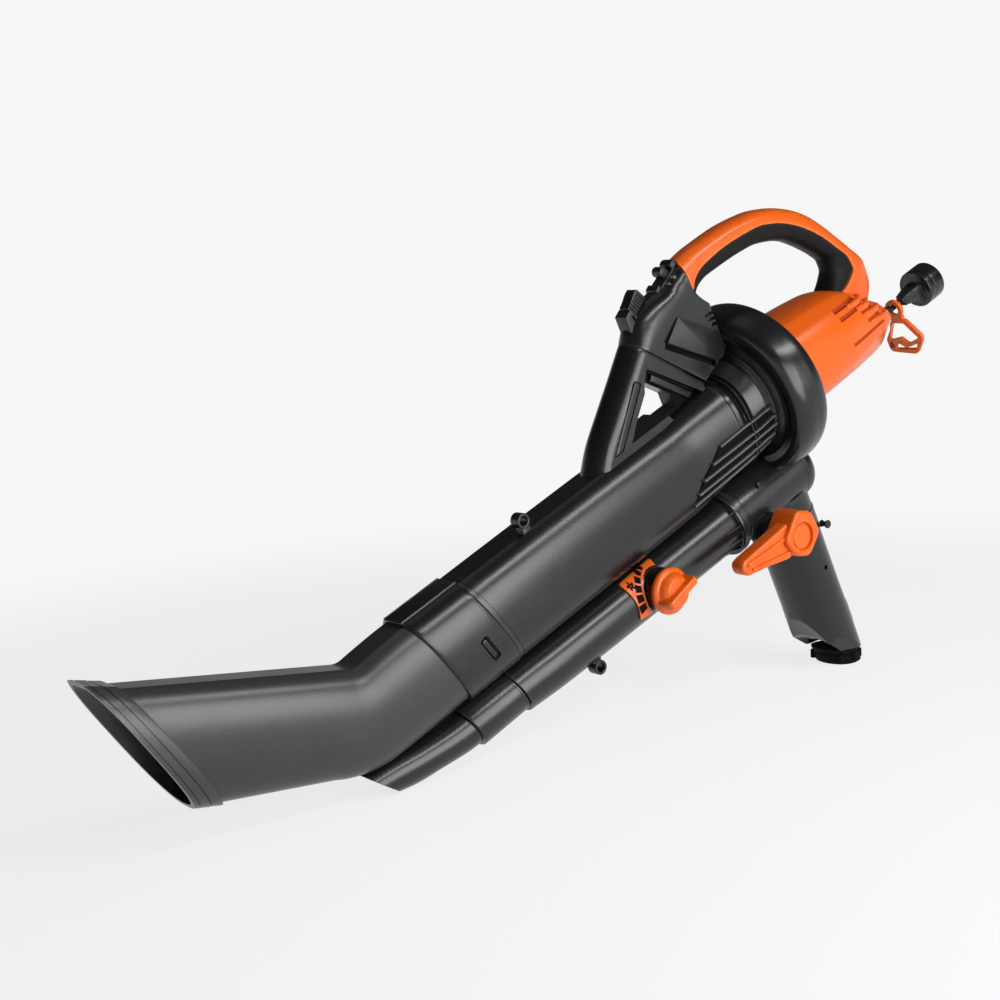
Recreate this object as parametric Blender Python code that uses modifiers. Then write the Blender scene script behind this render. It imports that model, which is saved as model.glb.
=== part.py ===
"""Leaf blower vacuum as an assembly of separate pieces. Metres, +Z up.

Everything is placed in the tool's own frame, which a single empty tilts: u runs along the suction tube
towards the motor, y across it (the control side is -y) and w square to the tube, upwards. The tool stands
on the tip of its blow nozzle and on the neck of its bag port.
"""
import math

import bmesh
import bpy
import numpy as np
from mathutils import Matrix, Vector

# Overall
TOOL_PITCH = math.radians(23.2)     # slope of the suction tube when the tool stands
GAP = 0.0003                        # clearance between touching pieces
RUN = 0.0005                        # clearance of turning and sliding pieces
SIDES = 24                          # facets round a tube

# Suction tube and nozzle
AXIS_W = -0.005                     # height of the suction tube's middle
TUBE_HALF_WIDTH = 0.038
TUBE_TOP = 0.052                    # flat top facet
TUBE_BOTTOM = -0.0605
TUBE_WALL = 0.0025
FLAT = 0.958                        # share of the full height at which the top facet cuts the section
TUBE_REAR_U = 0.290
TUBE_REAR_HALF_WIDTH = 0.047
TUBE_REAR_TOP = 0.060
TUBE_REAR_BOTTOM = -0.047
SPIGOT_STEP = 0.002                 # how far a spigot lies under its tube's skin
COLLAR_FRONT_U = -0.153
COLLAR_REAR_U = -0.082
COLLAR_PROUD = 0.001
SLANT = 0.27                        # joints lean back by this much per unit of height
NOZZLE_SPIGOT_U = -0.088
ELBOW_U = -0.251
ELBOW_ANGLE = math.radians(34.0)
ELBOW_RADIUS = 0.075
NOZZLE_HALF_HEIGHT = 0.0545
MOUTH_U = -0.448
MOUTH_W = 0.112
MOUTH_TILT = math.radians(-11.8)
MOUTH_HALF_LENGTH = 0.0785
MOUTH_HALF_WIDTH = 0.034
BAND_LENGTH = 0.030
BAND_PROUD = 0.005
SNAP_U = -0.106                     # middle of the snap buttons
SNAP_W = -0.016

# The mode lever's shaft: the blow tube's rear end, the diverter and the bag port keep their distance from it
LEVER_U = 0.290
LEVER_TO_BLOW_REAR = 0.0375
LEVER_TO_DIVERTER_FRONT = 0.030
LEVER_TO_PORT = 0.055

# Blow tube and nozzle
BLOW_REAR_U = LEVER_U - LEVER_TO_BLOW_REAR
BLOW_TOP = -0.0620                  # the blow tube runs along under the suction tube
BLOW_FRONT_RADIUS = 0.0285
BLOW_REAR_RADIUS = 0.0337
BLOW_WALL = 0.0022
BLOW_SPIGOT_RADIUS = 0.0222
BLOW_COLLAR_FRONT_U = -0.144
BLOW_COLLAR_REAR_U = -0.080
BLOW_COLLAR_RADIUS = 0.0262
BLOW_SLANT = 0.20
BLOW_COLLAR_W = -0.0897
TIP_U = -0.256
TIP_W = -0.0757
TIP_RADIUS = 0.0190
TIP_TILT = math.radians(-35.0)

# Fan volute and intake
FAN_W = 0.018                       # height of the fan and motor axis
VOLUTE_FRONT_U = 0.332
VOLUTE_REAR_U = 0.379
VOLUTE_RADIUS = 0.101
VOLUTE_EDGE_RADIUS = 0.0955
VOLUTE_WALL = 0.0025
EYE_RADIUS = 0.058
SHROUD_HALF_WIDTH = 0.052
FIN_COUNT = 5

# Diverter and bag port
DIVERTER_W = -0.0948
DIVERTER_RADIUS = 0.038
DIVERTER_FRONT_U = LEVER_U - LEVER_TO_DIVERTER_FRONT
PORT_U = LEVER_U + LEVER_TO_PORT
DIVERTER_REAR_U = PORT_U + 0.047
DIVERTER_WALL = 0.0025
RING_RADIUS = 0.0405
RING_WIDTH = 0.008
PORT_RADIUS = 0.035
PORT_WALL = 0.0025
PORT_TOP_W = -0.1335
PORT_FOOT_DROP = 0.020              # how far the neck stands out below the port's rim

# Controls
LEVER_W = -0.124
LEVER_FACE_Y = -0.085
LEVER_HUB_RADIUS = 0.027
LEVER_BACK_Y = -0.050
LEVER_SHAFT_RADIUS = 0.003
FLAP_LENGTH = 0.054
FLAP_HALF_WIDTH = 0.0165
DIAL_U = 0.123
DIAL_RADIUS = 0.0255
DIAL_BACK_Y = -0.0415
DIAL_FACE_Y = -0.048
DIAL_GRIP_Y = -0.066
DIAL_PITCH = math.radians(9.0)      # how the dial's grip stands at rest
DAMPER_RADIUS = 0.0270
BLOW_STATIONS = (-0.03, DIAL_U - 0.08, DIAL_U, BLOW_REAR_U)
SWITCH_PITCH = math.radians(23.1)   # slope of the switch's plate
SWITCH_AT = (0.2985, 0.1885)
LATCH_PITCH = math.radians(29.0)    # slope along which the latch slides
LATCH_AT = (0.2480, 0.1830)
CATCH_PITCH = math.radians(-27.7)
CATCH_AT = (0.2250, 0.1625)

# Handle, column and strut
HANDLE_HALF_WIDTH = 0.0180
COLUMN_HALF_WIDTH = 0.0210
STRUT_HALF_WIDTH = 0.0200

# Motor
COVER_FRONT_U = VOLUTE_REAR_U + 0.0005
COVER_WALL = 0.0025
SHAFT_RADIUS = 0.0040
BEARING_RADIUS = 0.0110
IMPELLER_RADIUS = 0.086
ARMATURE_RADIUS = 0.0220
CORD_W = -0.0176
CORD_RADIUS = 0.0036
PLUG_RADIUS = 0.0233
PLUG_FRONT_U = 0.6695
PLUG_REAR_U = 0.6975
HOOK_U = 0.6245
HOOK_HALF_THICKNESS = 0.0025
HOOK_HOLE_RADIUS = 0.0070

COLLECTION = "leaf_blower_vacuum"


def clear_scene():
    for thing in list(bpy.context.scene.objects):
        bpy.data.objects.remove(thing, do_unlink=True)


def collection(name):
    made = bpy.data.collections.new(name)
    bpy.context.scene.collection.children.link(made)
    return made


def material(name, colour, roughness, metallic=0.0):
    made = bpy.data.materials.new(name)
    made.use_nodes = True
    shader = made.node_tree.nodes["Principled BSDF"]
    shader.inputs["Base Color"].default_value = (*colour, 1.0)
    shader.inputs["Roughness"].default_value = roughness
    shader.inputs["Metallic"].default_value = metallic
    return made


def finish_object(name, mesh, finish, at=(0.0, 0.0, 0.0), turn=None, cutter=False):
    """Links a mesh as a named object in the tool's frame, at a place there."""
    made = bpy.data.objects.new(name, mesh)
    (CUTTERS if cutter else PARTS).objects.link(made)
    made.parent = TOOL
    made.location = at
    if turn:
        made.rotation_euler = turn
    if finish:
        mesh.materials.append(finish)
    if cutter:
        made.hide_render = True
        made.display_type = "WIRE"
    else:
        mesh.shade_smooth()
        mesh.set_sharp_from_angle(angle=math.radians(35))
    return made


def bevel(thing, width, segments=2):
    edge = thing.modifiers.new("bevel", "BEVEL")
    edge.width = width
    edge.segments = segments
    edge.limit_method = "ANGLE"
    edge.angle_limit = math.radians(40)
    return thing


def boolean(thing, other, operation="DIFFERENCE"):
    step = thing.modifiers.new(operation.lower(), "BOOLEAN")
    step.operation = operation
    step.object = other
    step.solver = "EXACT"
    return thing


# Rings and lofts

def ring(u, w, tilt, half_width, up, down, power=2.6, flat=1.0, sides=SIDES):
    """One closed section: a superellipse in a plane across the path, its top cut flat at a share of up."""
    t = np.arange(sides) * 2 * math.pi / sides + math.pi / sides
    c, s = np.cos(t), np.sin(t)
    y = half_width * np.sign(c) * np.abs(c) ** (2 / power)
    h = np.where(s > 0, up, down) * np.sign(s) * np.abs(s) ** (2 / power)
    h = np.minimum(h, flat * up)
    return np.stack([u + h * math.sin(tilt), y, w + h * math.cos(tilt)], -1)


def loft_mesh(name, rings, hollow, at=(0.0, 0.0, 0.0)):
    """Skins a row of rings. Hollow: the last ring meets the first, as outside and inside walls do."""
    bm = bmesh.new()
    rows = [[bm.verts.new(Vector(p) - Vector(at)) for p in points] for points in rings]
    pairs = list(zip(rows, rows[1:] + rows[:1])) if hollow else list(zip(rows, rows[1:]))
    for row, after in pairs:
        for k in range(len(row)):
            following = (k + 1) % len(row)
            bm.faces.new((row[k], row[following], after[following], after[k]))
    if not hollow:
        bm.faces.new(rows[0])
        bm.faces.new(rows[-1])
    bmesh.ops.recalc_face_normals(bm, faces=bm.faces)
    mesh = bpy.data.meshes.new(name)
    bm.to_mesh(mesh)
    bm.free()
    return mesh


def shell(name, stations, wall, finish, power=2.6, flat=1.0, inner=None, sides=SIDES):
    """A tube with a wall. stations and inner: (u, w, tilt, half width, up, down) for each section."""
    outside = [ring(*s, power, flat, sides) for s in stations]
    bore = inner or [(u, w, tilt, hw - wall, up - wall, down - wall) for u, w, tilt, hw, up, down in stations]
    inside = [ring(*s, power, flat, sides) for s in reversed(bore)]
    return finish_object(name, loft_mesh(name, outside + inside, True), finish)


def solid(name, stations, finish, power=2.6, flat=1.0, sides=SIDES, cutter=False):
    rings = [ring(*s, power, flat, sides) for s in stations]
    return finish_object(name, loft_mesh(name, rings, False), finish, cutter=cutter)


# Primitives in the tool's frame

def box(name, size, at, finish, pitch=0.0, edge=0.0, cutter=False):
    """A box of size (u, y, w), its u side raised by pitch."""
    bm = bmesh.new()
    bmesh.ops.create_cube(bm, size=1.0)
    bmesh.ops.scale(bm, vec=size, verts=bm.verts)
    mesh = bpy.data.meshes.new(name)
    bm.to_mesh(mesh)
    bm.free()
    made = finish_object(name, mesh, finish, at, (0.0, -pitch, 0.0), cutter)
    return bevel(made, edge) if edge else made


TURNS = {"u": (0.0, math.pi / 2, 0.0), "y": (math.pi / 2, 0.0, 0.0), "w": (0.0, 0.0, 0.0)}


def rod(name, radius, length, at, axis, finish, end_radius=None, sides=SIDES, cutter=False, edge=0.0):
    """A cylinder or cone whose middle is at a place; end_radius is on its +u, -y or +w end."""
    bm = bmesh.new()
    bmesh.ops.create_cone(bm, cap_ends=True, segments=sides, radius1=radius,
                          radius2=radius if end_radius is None else end_radius, depth=length)
    mesh = bpy.data.meshes.new(name)
    bm.to_mesh(mesh)
    bm.free()
    made = finish_object(name, mesh, finish, at, TURNS[axis], cutter)
    return bevel(made, edge) if edge else made


def turned(name, profile, at, axis, finish, closed=False, sides=SIDES, cutter=False):
    """A profile of (radius, height) points spun about the axis. Heights run along +u, -y or +w."""
    mesh = bpy.data.meshes.new(name)
    count = len(profile)
    turn_sum = sum(a[0] * b[1] - b[0] * a[1] for a, b in zip(profile, profile[1:] + profile[:1]))
    profile = profile[::-1] if turn_sum > 0 else profile
    edges = [(k, (k + 1) % count) for k in range(count if closed else count - 1)]
    mesh.from_pydata([(r, 0.0, h) for r, h in profile], edges, [])
    made = finish_object(name, mesh, finish, at, TURNS[axis], cutter)
    spin = made.modifiers.new("spin", "SCREW")
    spin.steps = spin.render_steps = sides
    spin.use_merge_vertices = True
    spin.merge_threshold = 0.0001
    spin.use_smooth_shade = False
    return made


def outline(name, loops, half_thickness, at, finish, turn=(math.pi / 2, 0.0, 0.0), edge=0.0, cutter=False):
    """A flat outline given thickness. Points are (u, w) for an outline that lies along the tool."""
    curve = bpy.data.curves.new(name, "CURVE")
    curve.dimensions = "2D"
    curve.fill_mode = "BOTH"
    curve.extrude = half_thickness
    for loop in loops:
        spline = curve.splines.new("POLY")
        spline.points.add(len(loop) - 1)
        for point, (a, b) in zip(spline.points, loop):
            point.co = (a, b, 0.0, 1.0)
        spline.use_cyclic_u = True
    drawn = bpy.data.objects.new(name + "_outline", curve)
    bpy.context.scene.collection.objects.link(drawn)
    bpy.context.view_layer.update()
    mesh = bpy.data.meshes.new_from_object(drawn.evaluated_get(bpy.context.evaluated_depsgraph_get()))
    bpy.data.objects.remove(drawn, do_unlink=True)
    bpy.data.curves.remove(curve)
    bm = bmesh.new()
    bm.from_mesh(mesh)
    bmesh.ops.remove_doubles(bm, verts=bm.verts, dist=0.00001)
    bmesh.ops.dissolve_limit(bm, angle_limit=math.radians(1), verts=bm.verts, edges=bm.edges)
    bmesh.ops.recalc_face_normals(bm, faces=bm.faces)
    bm.to_mesh(mesh)
    bm.free()
    mesh.name = name
    mesh.materials.clear()
    made = finish_object(name, mesh, finish, at, turn, cutter)
    return bevel(made, edge) if edge else made


def arc(centre, radius, start, end, count):
    """Points along an arc, angles in degrees."""
    return [(centre[0] + radius * math.cos(math.radians(a)), centre[1] + radius * math.sin(math.radians(a)))
            for a in np.linspace(start, end, count)]


def slanted(u0, w, slant=SLANT):
    return u0 - slant * w


# Suction side

def tube_station(u0, half_width, top, bottom, lean=SLANT):
    """A section of the straight tube; lean is the joint plane's backward slope."""
    tilt = -math.atan(lean)
    grow = 1 / math.cos(tilt)
    return (slanted(u0, AXIS_W, lean), AXIS_W, tilt, half_width, (top - AXIS_W) * grow / FLAT,
            (AXIS_W - bottom) * grow)


def suction_tube(black):
    small = (TUBE_HALF_WIDTH - SPIGOT_STEP, TUBE_TOP - SPIGOT_STEP, TUBE_BOTTOM + SPIGOT_STEP)
    full = (TUBE_HALF_WIDTH, TUBE_TOP, TUBE_BOTTOM)
    rear = (TUBE_REAR_HALF_WIDTH, TUBE_REAR_TOP, TUBE_REAR_BOTTOM)
    start = NOZZLE_SPIGOT_U + GAP
    flare = TUBE_REAR_U - 0.080
    outside = [tube_station(start, *small), tube_station(COLLAR_REAR_U + GAP, *small),
               tube_station(COLLAR_REAR_U + GAP, *full), tube_station(flare, *full, 0.0),
               tube_station(TUBE_REAR_U, *rear, 0.0)]

    def hollow(u0, size, lean):
        half_width, top, bottom = size
        return tube_station(u0, half_width - TUBE_WALL, top - TUBE_WALL, bottom + TUBE_WALL, lean)

    bore = [hollow(start, small, SLANT), hollow(flare, small, 0.0), hollow(TUBE_REAR_U, rear, 0.0)]
    return shell("suction_tube", outside, TUBE_WALL, black, flat=FLAT, inner=bore)


def nozzle_path():
    """Sections of the suction nozzle from its spigot to the edge of its mouth band."""
    small = (TUBE_HALF_WIDTH - SPIGOT_STEP, TUBE_TOP - SPIGOT_STEP, TUBE_BOTTOM + SPIGOT_STEP)
    reach = ELBOW_RADIUS * math.tan(ELBOW_ANGLE / 2)
    stations = [tube_station(NOZZLE_SPIGOT_U, *small), tube_station(COLLAR_FRONT_U - 0.004, *small)]
    bend_u = ELBOW_U + reach
    hw, half = small[0], NOZZLE_HALF_HEIGHT
    centre = (bend_u, AXIS_W + ELBOW_RADIUS)
    for share in np.linspace(0, 1, 5):
        a = ELBOW_ANGLE * share
        stations.append((centre[0] - ELBOW_RADIUS * math.sin(a), centre[1] - ELBOW_RADIUS * math.cos(a),
                         a, hw, half, half))
    end = stations[-1]
    axis = (-math.cos(ELBOW_ANGLE), math.sin(ELBOW_ANGLE))
    band = (MOUTH_U - axis[0] * BAND_LENGTH, MOUTH_W - axis[1] * BAND_LENGTH)
    for share in (0.35, 0.7, 1.0):
        tilt = ELBOW_ANGLE + (MOUTH_TILT - ELBOW_ANGLE) * share
        size = half + (MOUTH_HALF_LENGTH - half) * share
        width = hw + (MOUTH_HALF_WIDTH - hw) * share
        stations.append((end[0] + (band[0] - end[0]) * share, end[1] + (band[1] - end[1]) * share,
                         tilt, width, size, size))
    return stations, band


def suction_nozzle(black):
    stations, band = nozzle_path()
    wide, long = MOUTH_HALF_WIDTH + BAND_PROUD, MOUTH_HALF_LENGTH + BAND_PROUD
    flare = [(band[0], band[1], MOUTH_TILT, wide - 0.002, long - 0.002, long - 0.002),
             (MOUTH_U, MOUTH_W, MOUTH_TILT, wide, long, long)]
    bore = [(u, w, tilt, hw - TUBE_WALL, up - TUBE_WALL, down - TUBE_WALL)
            for u, w, tilt, hw, up, down in stations]
    lip = (MOUTH_U, MOUTH_W, MOUTH_TILT, wide - 0.004, long - 0.005, long - 0.005)
    nozzle = shell("suction_nozzle", stations + flare, TUBE_WALL, black, flat=FLAT, inner=bore + [lip])
    for side in (-1, 1):
        boolean(nozzle, snap_window(f"nozzle_window_{side}", side, 0.009, 0.028))
    return nozzle


def snap_window(name, side, wide, long):
    """Cutter for a snap button's window, through collar and nozzle wall on one side."""
    depth = 0.012
    at = (slanted(SNAP_U, SNAP_W), side * (TUBE_HALF_WIDTH - 0.002), SNAP_W)
    return box(name, (wide, depth, long), at, None, pitch=math.atan(SLANT), cutter=True)


def nozzle_collar(black):
    inner = (TUBE_HALF_WIDTH - SPIGOT_STEP + GAP, TUBE_TOP - SPIGOT_STEP + GAP,
             TUBE_BOTTOM + SPIGOT_STEP - GAP)
    outer = (TUBE_HALF_WIDTH + COLLAR_PROUD, TUBE_TOP + COLLAR_PROUD, TUBE_BOTTOM - COLLAR_PROUD)
    ends = (COLLAR_FRONT_U, COLLAR_REAR_U)
    collar = shell("nozzle_collar", [tube_station(u, *outer) for u in ends], 0.0, black, flat=FLAT,
                   inner=[tube_station(u, *inner) for u in ends])
    for side in (-1, 1):
        boolean(collar, snap_window(f"collar_window_{side}", side, 0.009, 0.028))
    return collar


def snap_button(name, side, black):
    """A button on the end of its own spring tongue, which lies along the inside of the nozzle wall."""
    wall_in = TUBE_HALF_WIDTH - SPIGOT_STEP - TUBE_WALL
    tongue = 0.0016
    long, root = 0.024, 0.036
    mid_y = side * (wall_in - GAP - tongue / 2 - 0.0045)
    face = TUBE_HALF_WIDTH - 0.0010
    at = (slanted(SNAP_U, SNAP_W), 0.0, SNAP_W)
    lean = math.atan(SLANT)
    pivot = (at[0] - root * math.cos(lean), mid_y, at[2] - root * math.sin(lean))
    bm = bmesh.new()
    profile = [(-0.004, -0.5), (root + 0.0045, -0.5), (root + 0.0045, 0.5), (-0.004, 0.5)]
    back = -side * tongue / 2
    front = side * tongue / 2
    stem = side * (face - abs(mid_y))
    outline_points = [(profile[0][0], back), (profile[1][0], back), (profile[1][0], front),
                      (root + 0.0034, front), (root + 0.0034, stem), (root - 0.0034, stem),
                      (root - 0.0034, front), (profile[0][0], front)]
    low = [bm.verts.new((a, b, -long / 2)) for a, b in outline_points]
    high = [bm.verts.new((a, b, long / 2)) for a, b in outline_points]
    for k in range(len(low)):
        j = (k + 1) % len(low)
        bm.faces.new((low[k], low[j], high[j], high[k]))
    bm.faces.new(low)
    bm.faces.new(high)
    bmesh.ops.recalc_face_normals(bm, faces=bm.faces)
    mesh = bpy.data.meshes.new(name)
    bm.to_mesh(mesh)
    bm.free()
    return finish_object(name, mesh, black, pivot, (0.0, -lean, 0.0))


def intake_shroud(black):
    """The funnel between the suction tube and the fan, ribbed with louvre fins on both sides."""
    front, rear = TUBE_REAR_U + GAP, VOLUTE_FRONT_U - GAP
    mid = (FAN_W + AXIS_W) / 2
    outside = [(front, mid, 0.0, SHROUD_HALF_WIDTH - 0.003, 0.058, 0.058),
               (rear, FAN_W, 0.0, EYE_RADIUS + 0.006, EYE_RADIUS + 0.006, EYE_RADIUS + 0.006)]
    bore = [(front, AXIS_W, 0.0, TUBE_REAR_HALF_WIDTH - TUBE_WALL, TUBE_REAR_TOP - AXIS_W - TUBE_WALL,
             AXIS_W - TUBE_REAR_BOTTOM - TUBE_WALL),
            (rear, FAN_W, 0.0, EYE_RADIUS, EYE_RADIUS, EYE_RADIUS)]
    return shell("intake_shroud", outside, 0.0, black, power=2.4, inner=bore)


def louvre_fins(black):
    """A comb of fins along the lower side of the tube, ahead of the fan, on one backing strip a side."""
    made = []
    flare = math.atan((TUBE_REAR_HALF_WIDTH - TUBE_HALF_WIDTH) / 0.080)
    length, foot_u, foot_w, step = 0.058, 0.2590, -0.032, 0.0115
    skin = TUBE_HALF_WIDTH + (foot_u - TUBE_REAR_U + 0.080) * math.tan(flare) + GAP * 2
    for side, name in ((-1, "louvre_near"), (1, "louvre_far")):
        base = box(name, (length, 0.0022, step * (FIN_COUNT - 1) + 0.003),
                   (foot_u, side * (skin + 0.0011), foot_w + step * (FIN_COUNT - 1) / 2), black)
        base.rotation_euler = (0.0, 0.0, side * flare)
        for k in range(FIN_COUNT):
            fin = box(f"{name}_fin_{k}", (length - 0.004, 0.0045, 0.0022),
                      (foot_u, side * (skin + 0.0036), foot_w + step * k), None, cutter=True)
            fin.rotation_euler = (0.0, 0.0, side * flare)
            boolean(base, fin, "UNION")
        made.append(base)
    return made


# Blow side

def blow_axis(u):
    """Height and radius of the blow tube at u: it widens to the rear and keeps its top level."""
    share = (u - BLOW_COLLAR_REAR_U) / (BLOW_REAR_U - BLOW_COLLAR_REAR_U)
    radius = BLOW_FRONT_RADIUS + (BLOW_REAR_RADIUS - BLOW_FRONT_RADIUS) * share ** 0.6
    return BLOW_TOP - radius, radius


def blow_station(u0, w, radius, lean=BLOW_SLANT):
    tilt = -math.atan(lean)
    grow = 1 / math.cos(tilt)
    return (u0 - lean * (w - BLOW_COLLAR_W), w, tilt, radius, radius * grow, radius * grow)


def blow_space(name, depth=0.0):
    """Cutter: the room that the blow tube takes, with the clearance and a depth round it."""
    stations = []
    for u in BLOW_STATIONS:
        w, radius = blow_axis(u)
        reach = radius + GAP * 1.2 + depth
        stations.append((u, w, 0.0, reach, reach, reach))
    return solid(name, stations, None, power=2.0, cutter=True)


def blow_tube(black):
    start = -0.110
    spigot = BLOW_SPIGOT_RADIUS
    front_w, front_radius = blow_axis(BLOW_COLLAR_REAR_U)
    outside = [blow_station(start, BLOW_COLLAR_W, spigot), blow_station(BLOW_COLLAR_REAR_U + GAP,
               BLOW_COLLAR_W, spigot), blow_station(BLOW_COLLAR_REAR_U + GAP, front_w, front_radius)]
    for u in BLOW_STATIONS:
        w, radius = blow_axis(u)
        outside.append((u, w, 0.0, radius, radius, radius))
    bore = [(u, w, tilt, hw - BLOW_WALL, up - BLOW_WALL, down - BLOW_WALL)
            for u, w, tilt, hw, up, down in (outside[0], outside[1], *outside[3:])]
    tube = shell("blow_tube", outside, BLOW_WALL, black, power=2.0, inner=bore)
    hole = rod("damper_hole", 0.003 + RUN, 0.10, (DIAL_U, 0.0, blow_axis(DIAL_U)[0]), "y", None, sides=16,
               cutter=True)
    return boolean(tube, hole)


def blow_collar(black):
    inner, outer = BLOW_SPIGOT_RADIUS + GAP, BLOW_COLLAR_RADIUS
    ends = (BLOW_COLLAR_FRONT_U, BLOW_COLLAR_REAR_U)
    return shell("blow_collar", [blow_station(u, BLOW_COLLAR_W, outer) for u in ends], 0.0, black, power=2.0,
                 inner=[blow_station(u, BLOW_COLLAR_W, inner) for u in ends])


def blow_nozzle(black):
    spigot = BLOW_SPIGOT_RADIUS
    grow = 1 / math.cos(TIP_TILT - math.radians(5))
    outside = [blow_station(-0.110 - GAP, BLOW_COLLAR_W, spigot),
               blow_station(BLOW_COLLAR_FRONT_U - 0.002, BLOW_COLLAR_W, spigot),
               (-0.205, BLOW_COLLAR_W + 0.0058, math.radians(-10), 0.0208, 0.0212, 0.0212),
               (TIP_U, TIP_W, TIP_TILT, TIP_RADIUS, TIP_RADIUS * grow, TIP_RADIUS * grow)]
    return shell("blow_nozzle", outside, BLOW_WALL, black, power=2.0)


# Fan housing

def volute(front_black, rear_black):
    """Front and rear shells of the fan drum, each turned about the fan axis and open to the diverter."""
    middle = (VOLUTE_FRONT_U + VOLUTE_REAR_U) / 2
    half = (VOLUTE_REAR_U - VOLUTE_FRONT_U) / 2
    edge, full, wall = VOLUTE_EDGE_RADIUS, VOLUTE_RADIUS, VOLUTE_WALL
    front = [(EYE_RADIUS, 0.0), (EYE_RADIUS, wall), (edge - 0.005, wall), (full - wall, half * 0.45),
             (full - wall, half - GAP / 2), (full, half - GAP / 2), (full, half * 0.55), (edge, 0.001),
             (edge - 0.004, 0.0)]
    rear_hole = 0.0540
    rear = [(rear_hole, half), (rear_hole, half - wall), (edge - 0.004, half - wall),
            (full - wall, half * 0.45), (full - wall, GAP / 2), (full, GAP / 2), (full, half * 0.5),
            (edge, half - 0.001), (edge - 0.002, half)]
    a = turned("volute_front", front[::-1], (VOLUTE_FRONT_U, 0.0, FAN_W), "u", front_black, True, 36)
    b = turned("volute_rear", rear, (middle, 0.0, FAN_W), "u", rear_black, True, 36)
    outlet = box("volute_outlet", (0.040, 0.040, 0.080), (middle, 0.0, FAN_W - full), None, cutter=True)
    boolean(a, outlet)
    boolean(b, outlet)
    return a, b


def diverter_housing(black):
    """Chamber under the drum: air comes in from the drum and leaves to the blow tube or the bag port."""
    radius, wall = DIVERTER_RADIUS, DIVERTER_WALL
    length = DIVERTER_REAR_U - DIVERTER_FRONT_U
    round_end = 0.018
    outside = [(radius, 0.0), (radius, length - round_end)]
    outside += [(radius - round_end * (1 - math.cos(a)), length - round_end * (1 - math.sin(a)))
                for a in np.radians((45, 90))]
    outside.append((0.0, length))
    inner = radius - wall
    inner_end = round_end - wall
    inside = [(0.0, length - wall)]
    inside += [(inner - inner_end * (1 - math.cos(a)), length - wall - inner_end * (1 - math.sin(a)))
               for a in np.radians((90, 45))]
    inside += [(inner, length - wall - inner_end), (inner, 0.0)]
    profile = (outside + inside)[::-1]
    body = turned("diverter_housing", profile, (DIVERTER_FRONT_U, 0.0, DIVERTER_W), "u", black, True, 28)
    boss_top = LEVER_BACK_Y + 0.004
    boss = rod("lever_boss", 0.019, abs(boss_top) - 0.0235, (LEVER_U, (boss_top - 0.0235) / 2, LEVER_W), "y",
               None, cutter=True)
    boolean(body, boss, "UNION")
    clear = DIVERTER_RADIUS - DIVERTER_WALL
    boolean(body, rod("chamber", clear - 0.0001, 0.060, (LEVER_U, 0.0, DIVERTER_W), "u", None, sides=36,
                      cutter=True))
    boolean(body, rod("drum_space", VOLUTE_RADIUS + GAP, VOLUTE_REAR_U - VOLUTE_FRONT_U + 0.030,
                      ((VOLUTE_FRONT_U + VOLUTE_REAR_U) / 2, 0.0, FAN_W), "u", None, sides=40, cutter=True))
    boolean(body, rod("port_hole", PORT_RADIUS - PORT_WALL, 0.060, (PORT_U, 0.0, PORT_TOP_W), "w", None,
                      cutter=True))
    boolean(body, rod("lever_bore", LEVER_SHAFT_RADIUS + RUN, 0.120, (LEVER_U, -0.02, LEVER_W), "y", None,
                      sides=16, cutter=True))
    return body


def diverter_ring(black):
    blow_w, blow_radius = blow_axis(BLOW_REAR_U)
    inner = BLOW_REAR_RADIUS + GAP
    profile = [(inner, 0.0), (RING_RADIUS, 0.0), (RING_RADIUS, RING_WIDTH), (inner, RING_WIDTH)]
    return turned("diverter_ring", profile, (BLOW_REAR_U - 0.002, 0.0, blow_w), "u", black, True, 32)


def bag_port(black):
    """The tube that the collection bag fits on; its rim is cut level with the ground."""
    rim = rim_height()
    grow = 1 / math.cos(TOOL_PITCH)
    r = PORT_RADIUS
    chamfer = 0.75

    def level(w, radius, front=1.0):
        return (PORT_U, w, math.pi / 2, radius, radius, radius * front)

    def rim_station(radius, front):
        return (PORT_U, rim, math.pi / 2 + TOOL_PITCH, radius, radius * grow, radius * grow * front)

    outside = [level(PORT_TOP_W + 0.0200, r), level(rim + 0.075, r), rim_station(r * 0.97, chamfer)]
    bore = [level(PORT_TOP_W + 0.0200, r - PORT_WALL), level(rim + 0.075, r - PORT_WALL),
            rim_station(r * 0.97 - PORT_WALL, chamfer)]
    port = shell("bag_port", outside, PORT_WALL, black, power=2.2, inner=bore)
    saddle = rod("port_saddle", DIVERTER_RADIUS + GAP, 0.150, (PORT_U, 0.0, DIVERTER_W), "u", None, sides=28,
                 cutter=True)
    return boolean(port, saddle)


def tip_floor():
    """Height of the ground in the tilted frame: the lowest point of the blow nozzle's tip."""
    grow = 1 / math.cos(TIP_TILT - math.radians(5))
    points = ring(TIP_U, TIP_W, TIP_TILT, TIP_RADIUS, TIP_RADIUS * grow, TIP_RADIUS * grow, 2.0)
    return float((points[:, 0] * math.sin(TOOL_PITCH) + points[:, 2] * math.cos(TOOL_PITCH)).min())


def middle():
    """How far along the ground the middle of the whole length lies from the frame's zero."""
    wide, long = MOUTH_HALF_WIDTH + BAND_PROUD, MOUTH_HALF_LENGTH + BAND_PROUD
    mouth = ring(MOUTH_U, MOUTH_W, MOUTH_TILT, wide, long, long, flat=FLAT)
    front = float((mouth[:, 0] * math.cos(TOOL_PITCH) - mouth[:, 2] * math.sin(TOOL_PITCH)).min())
    rear = PLUG_REAR_U * math.cos(TOOL_PITCH) - (CORD_W - PLUG_RADIUS) * math.sin(TOOL_PITCH)
    return (front + rear) / 2


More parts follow.
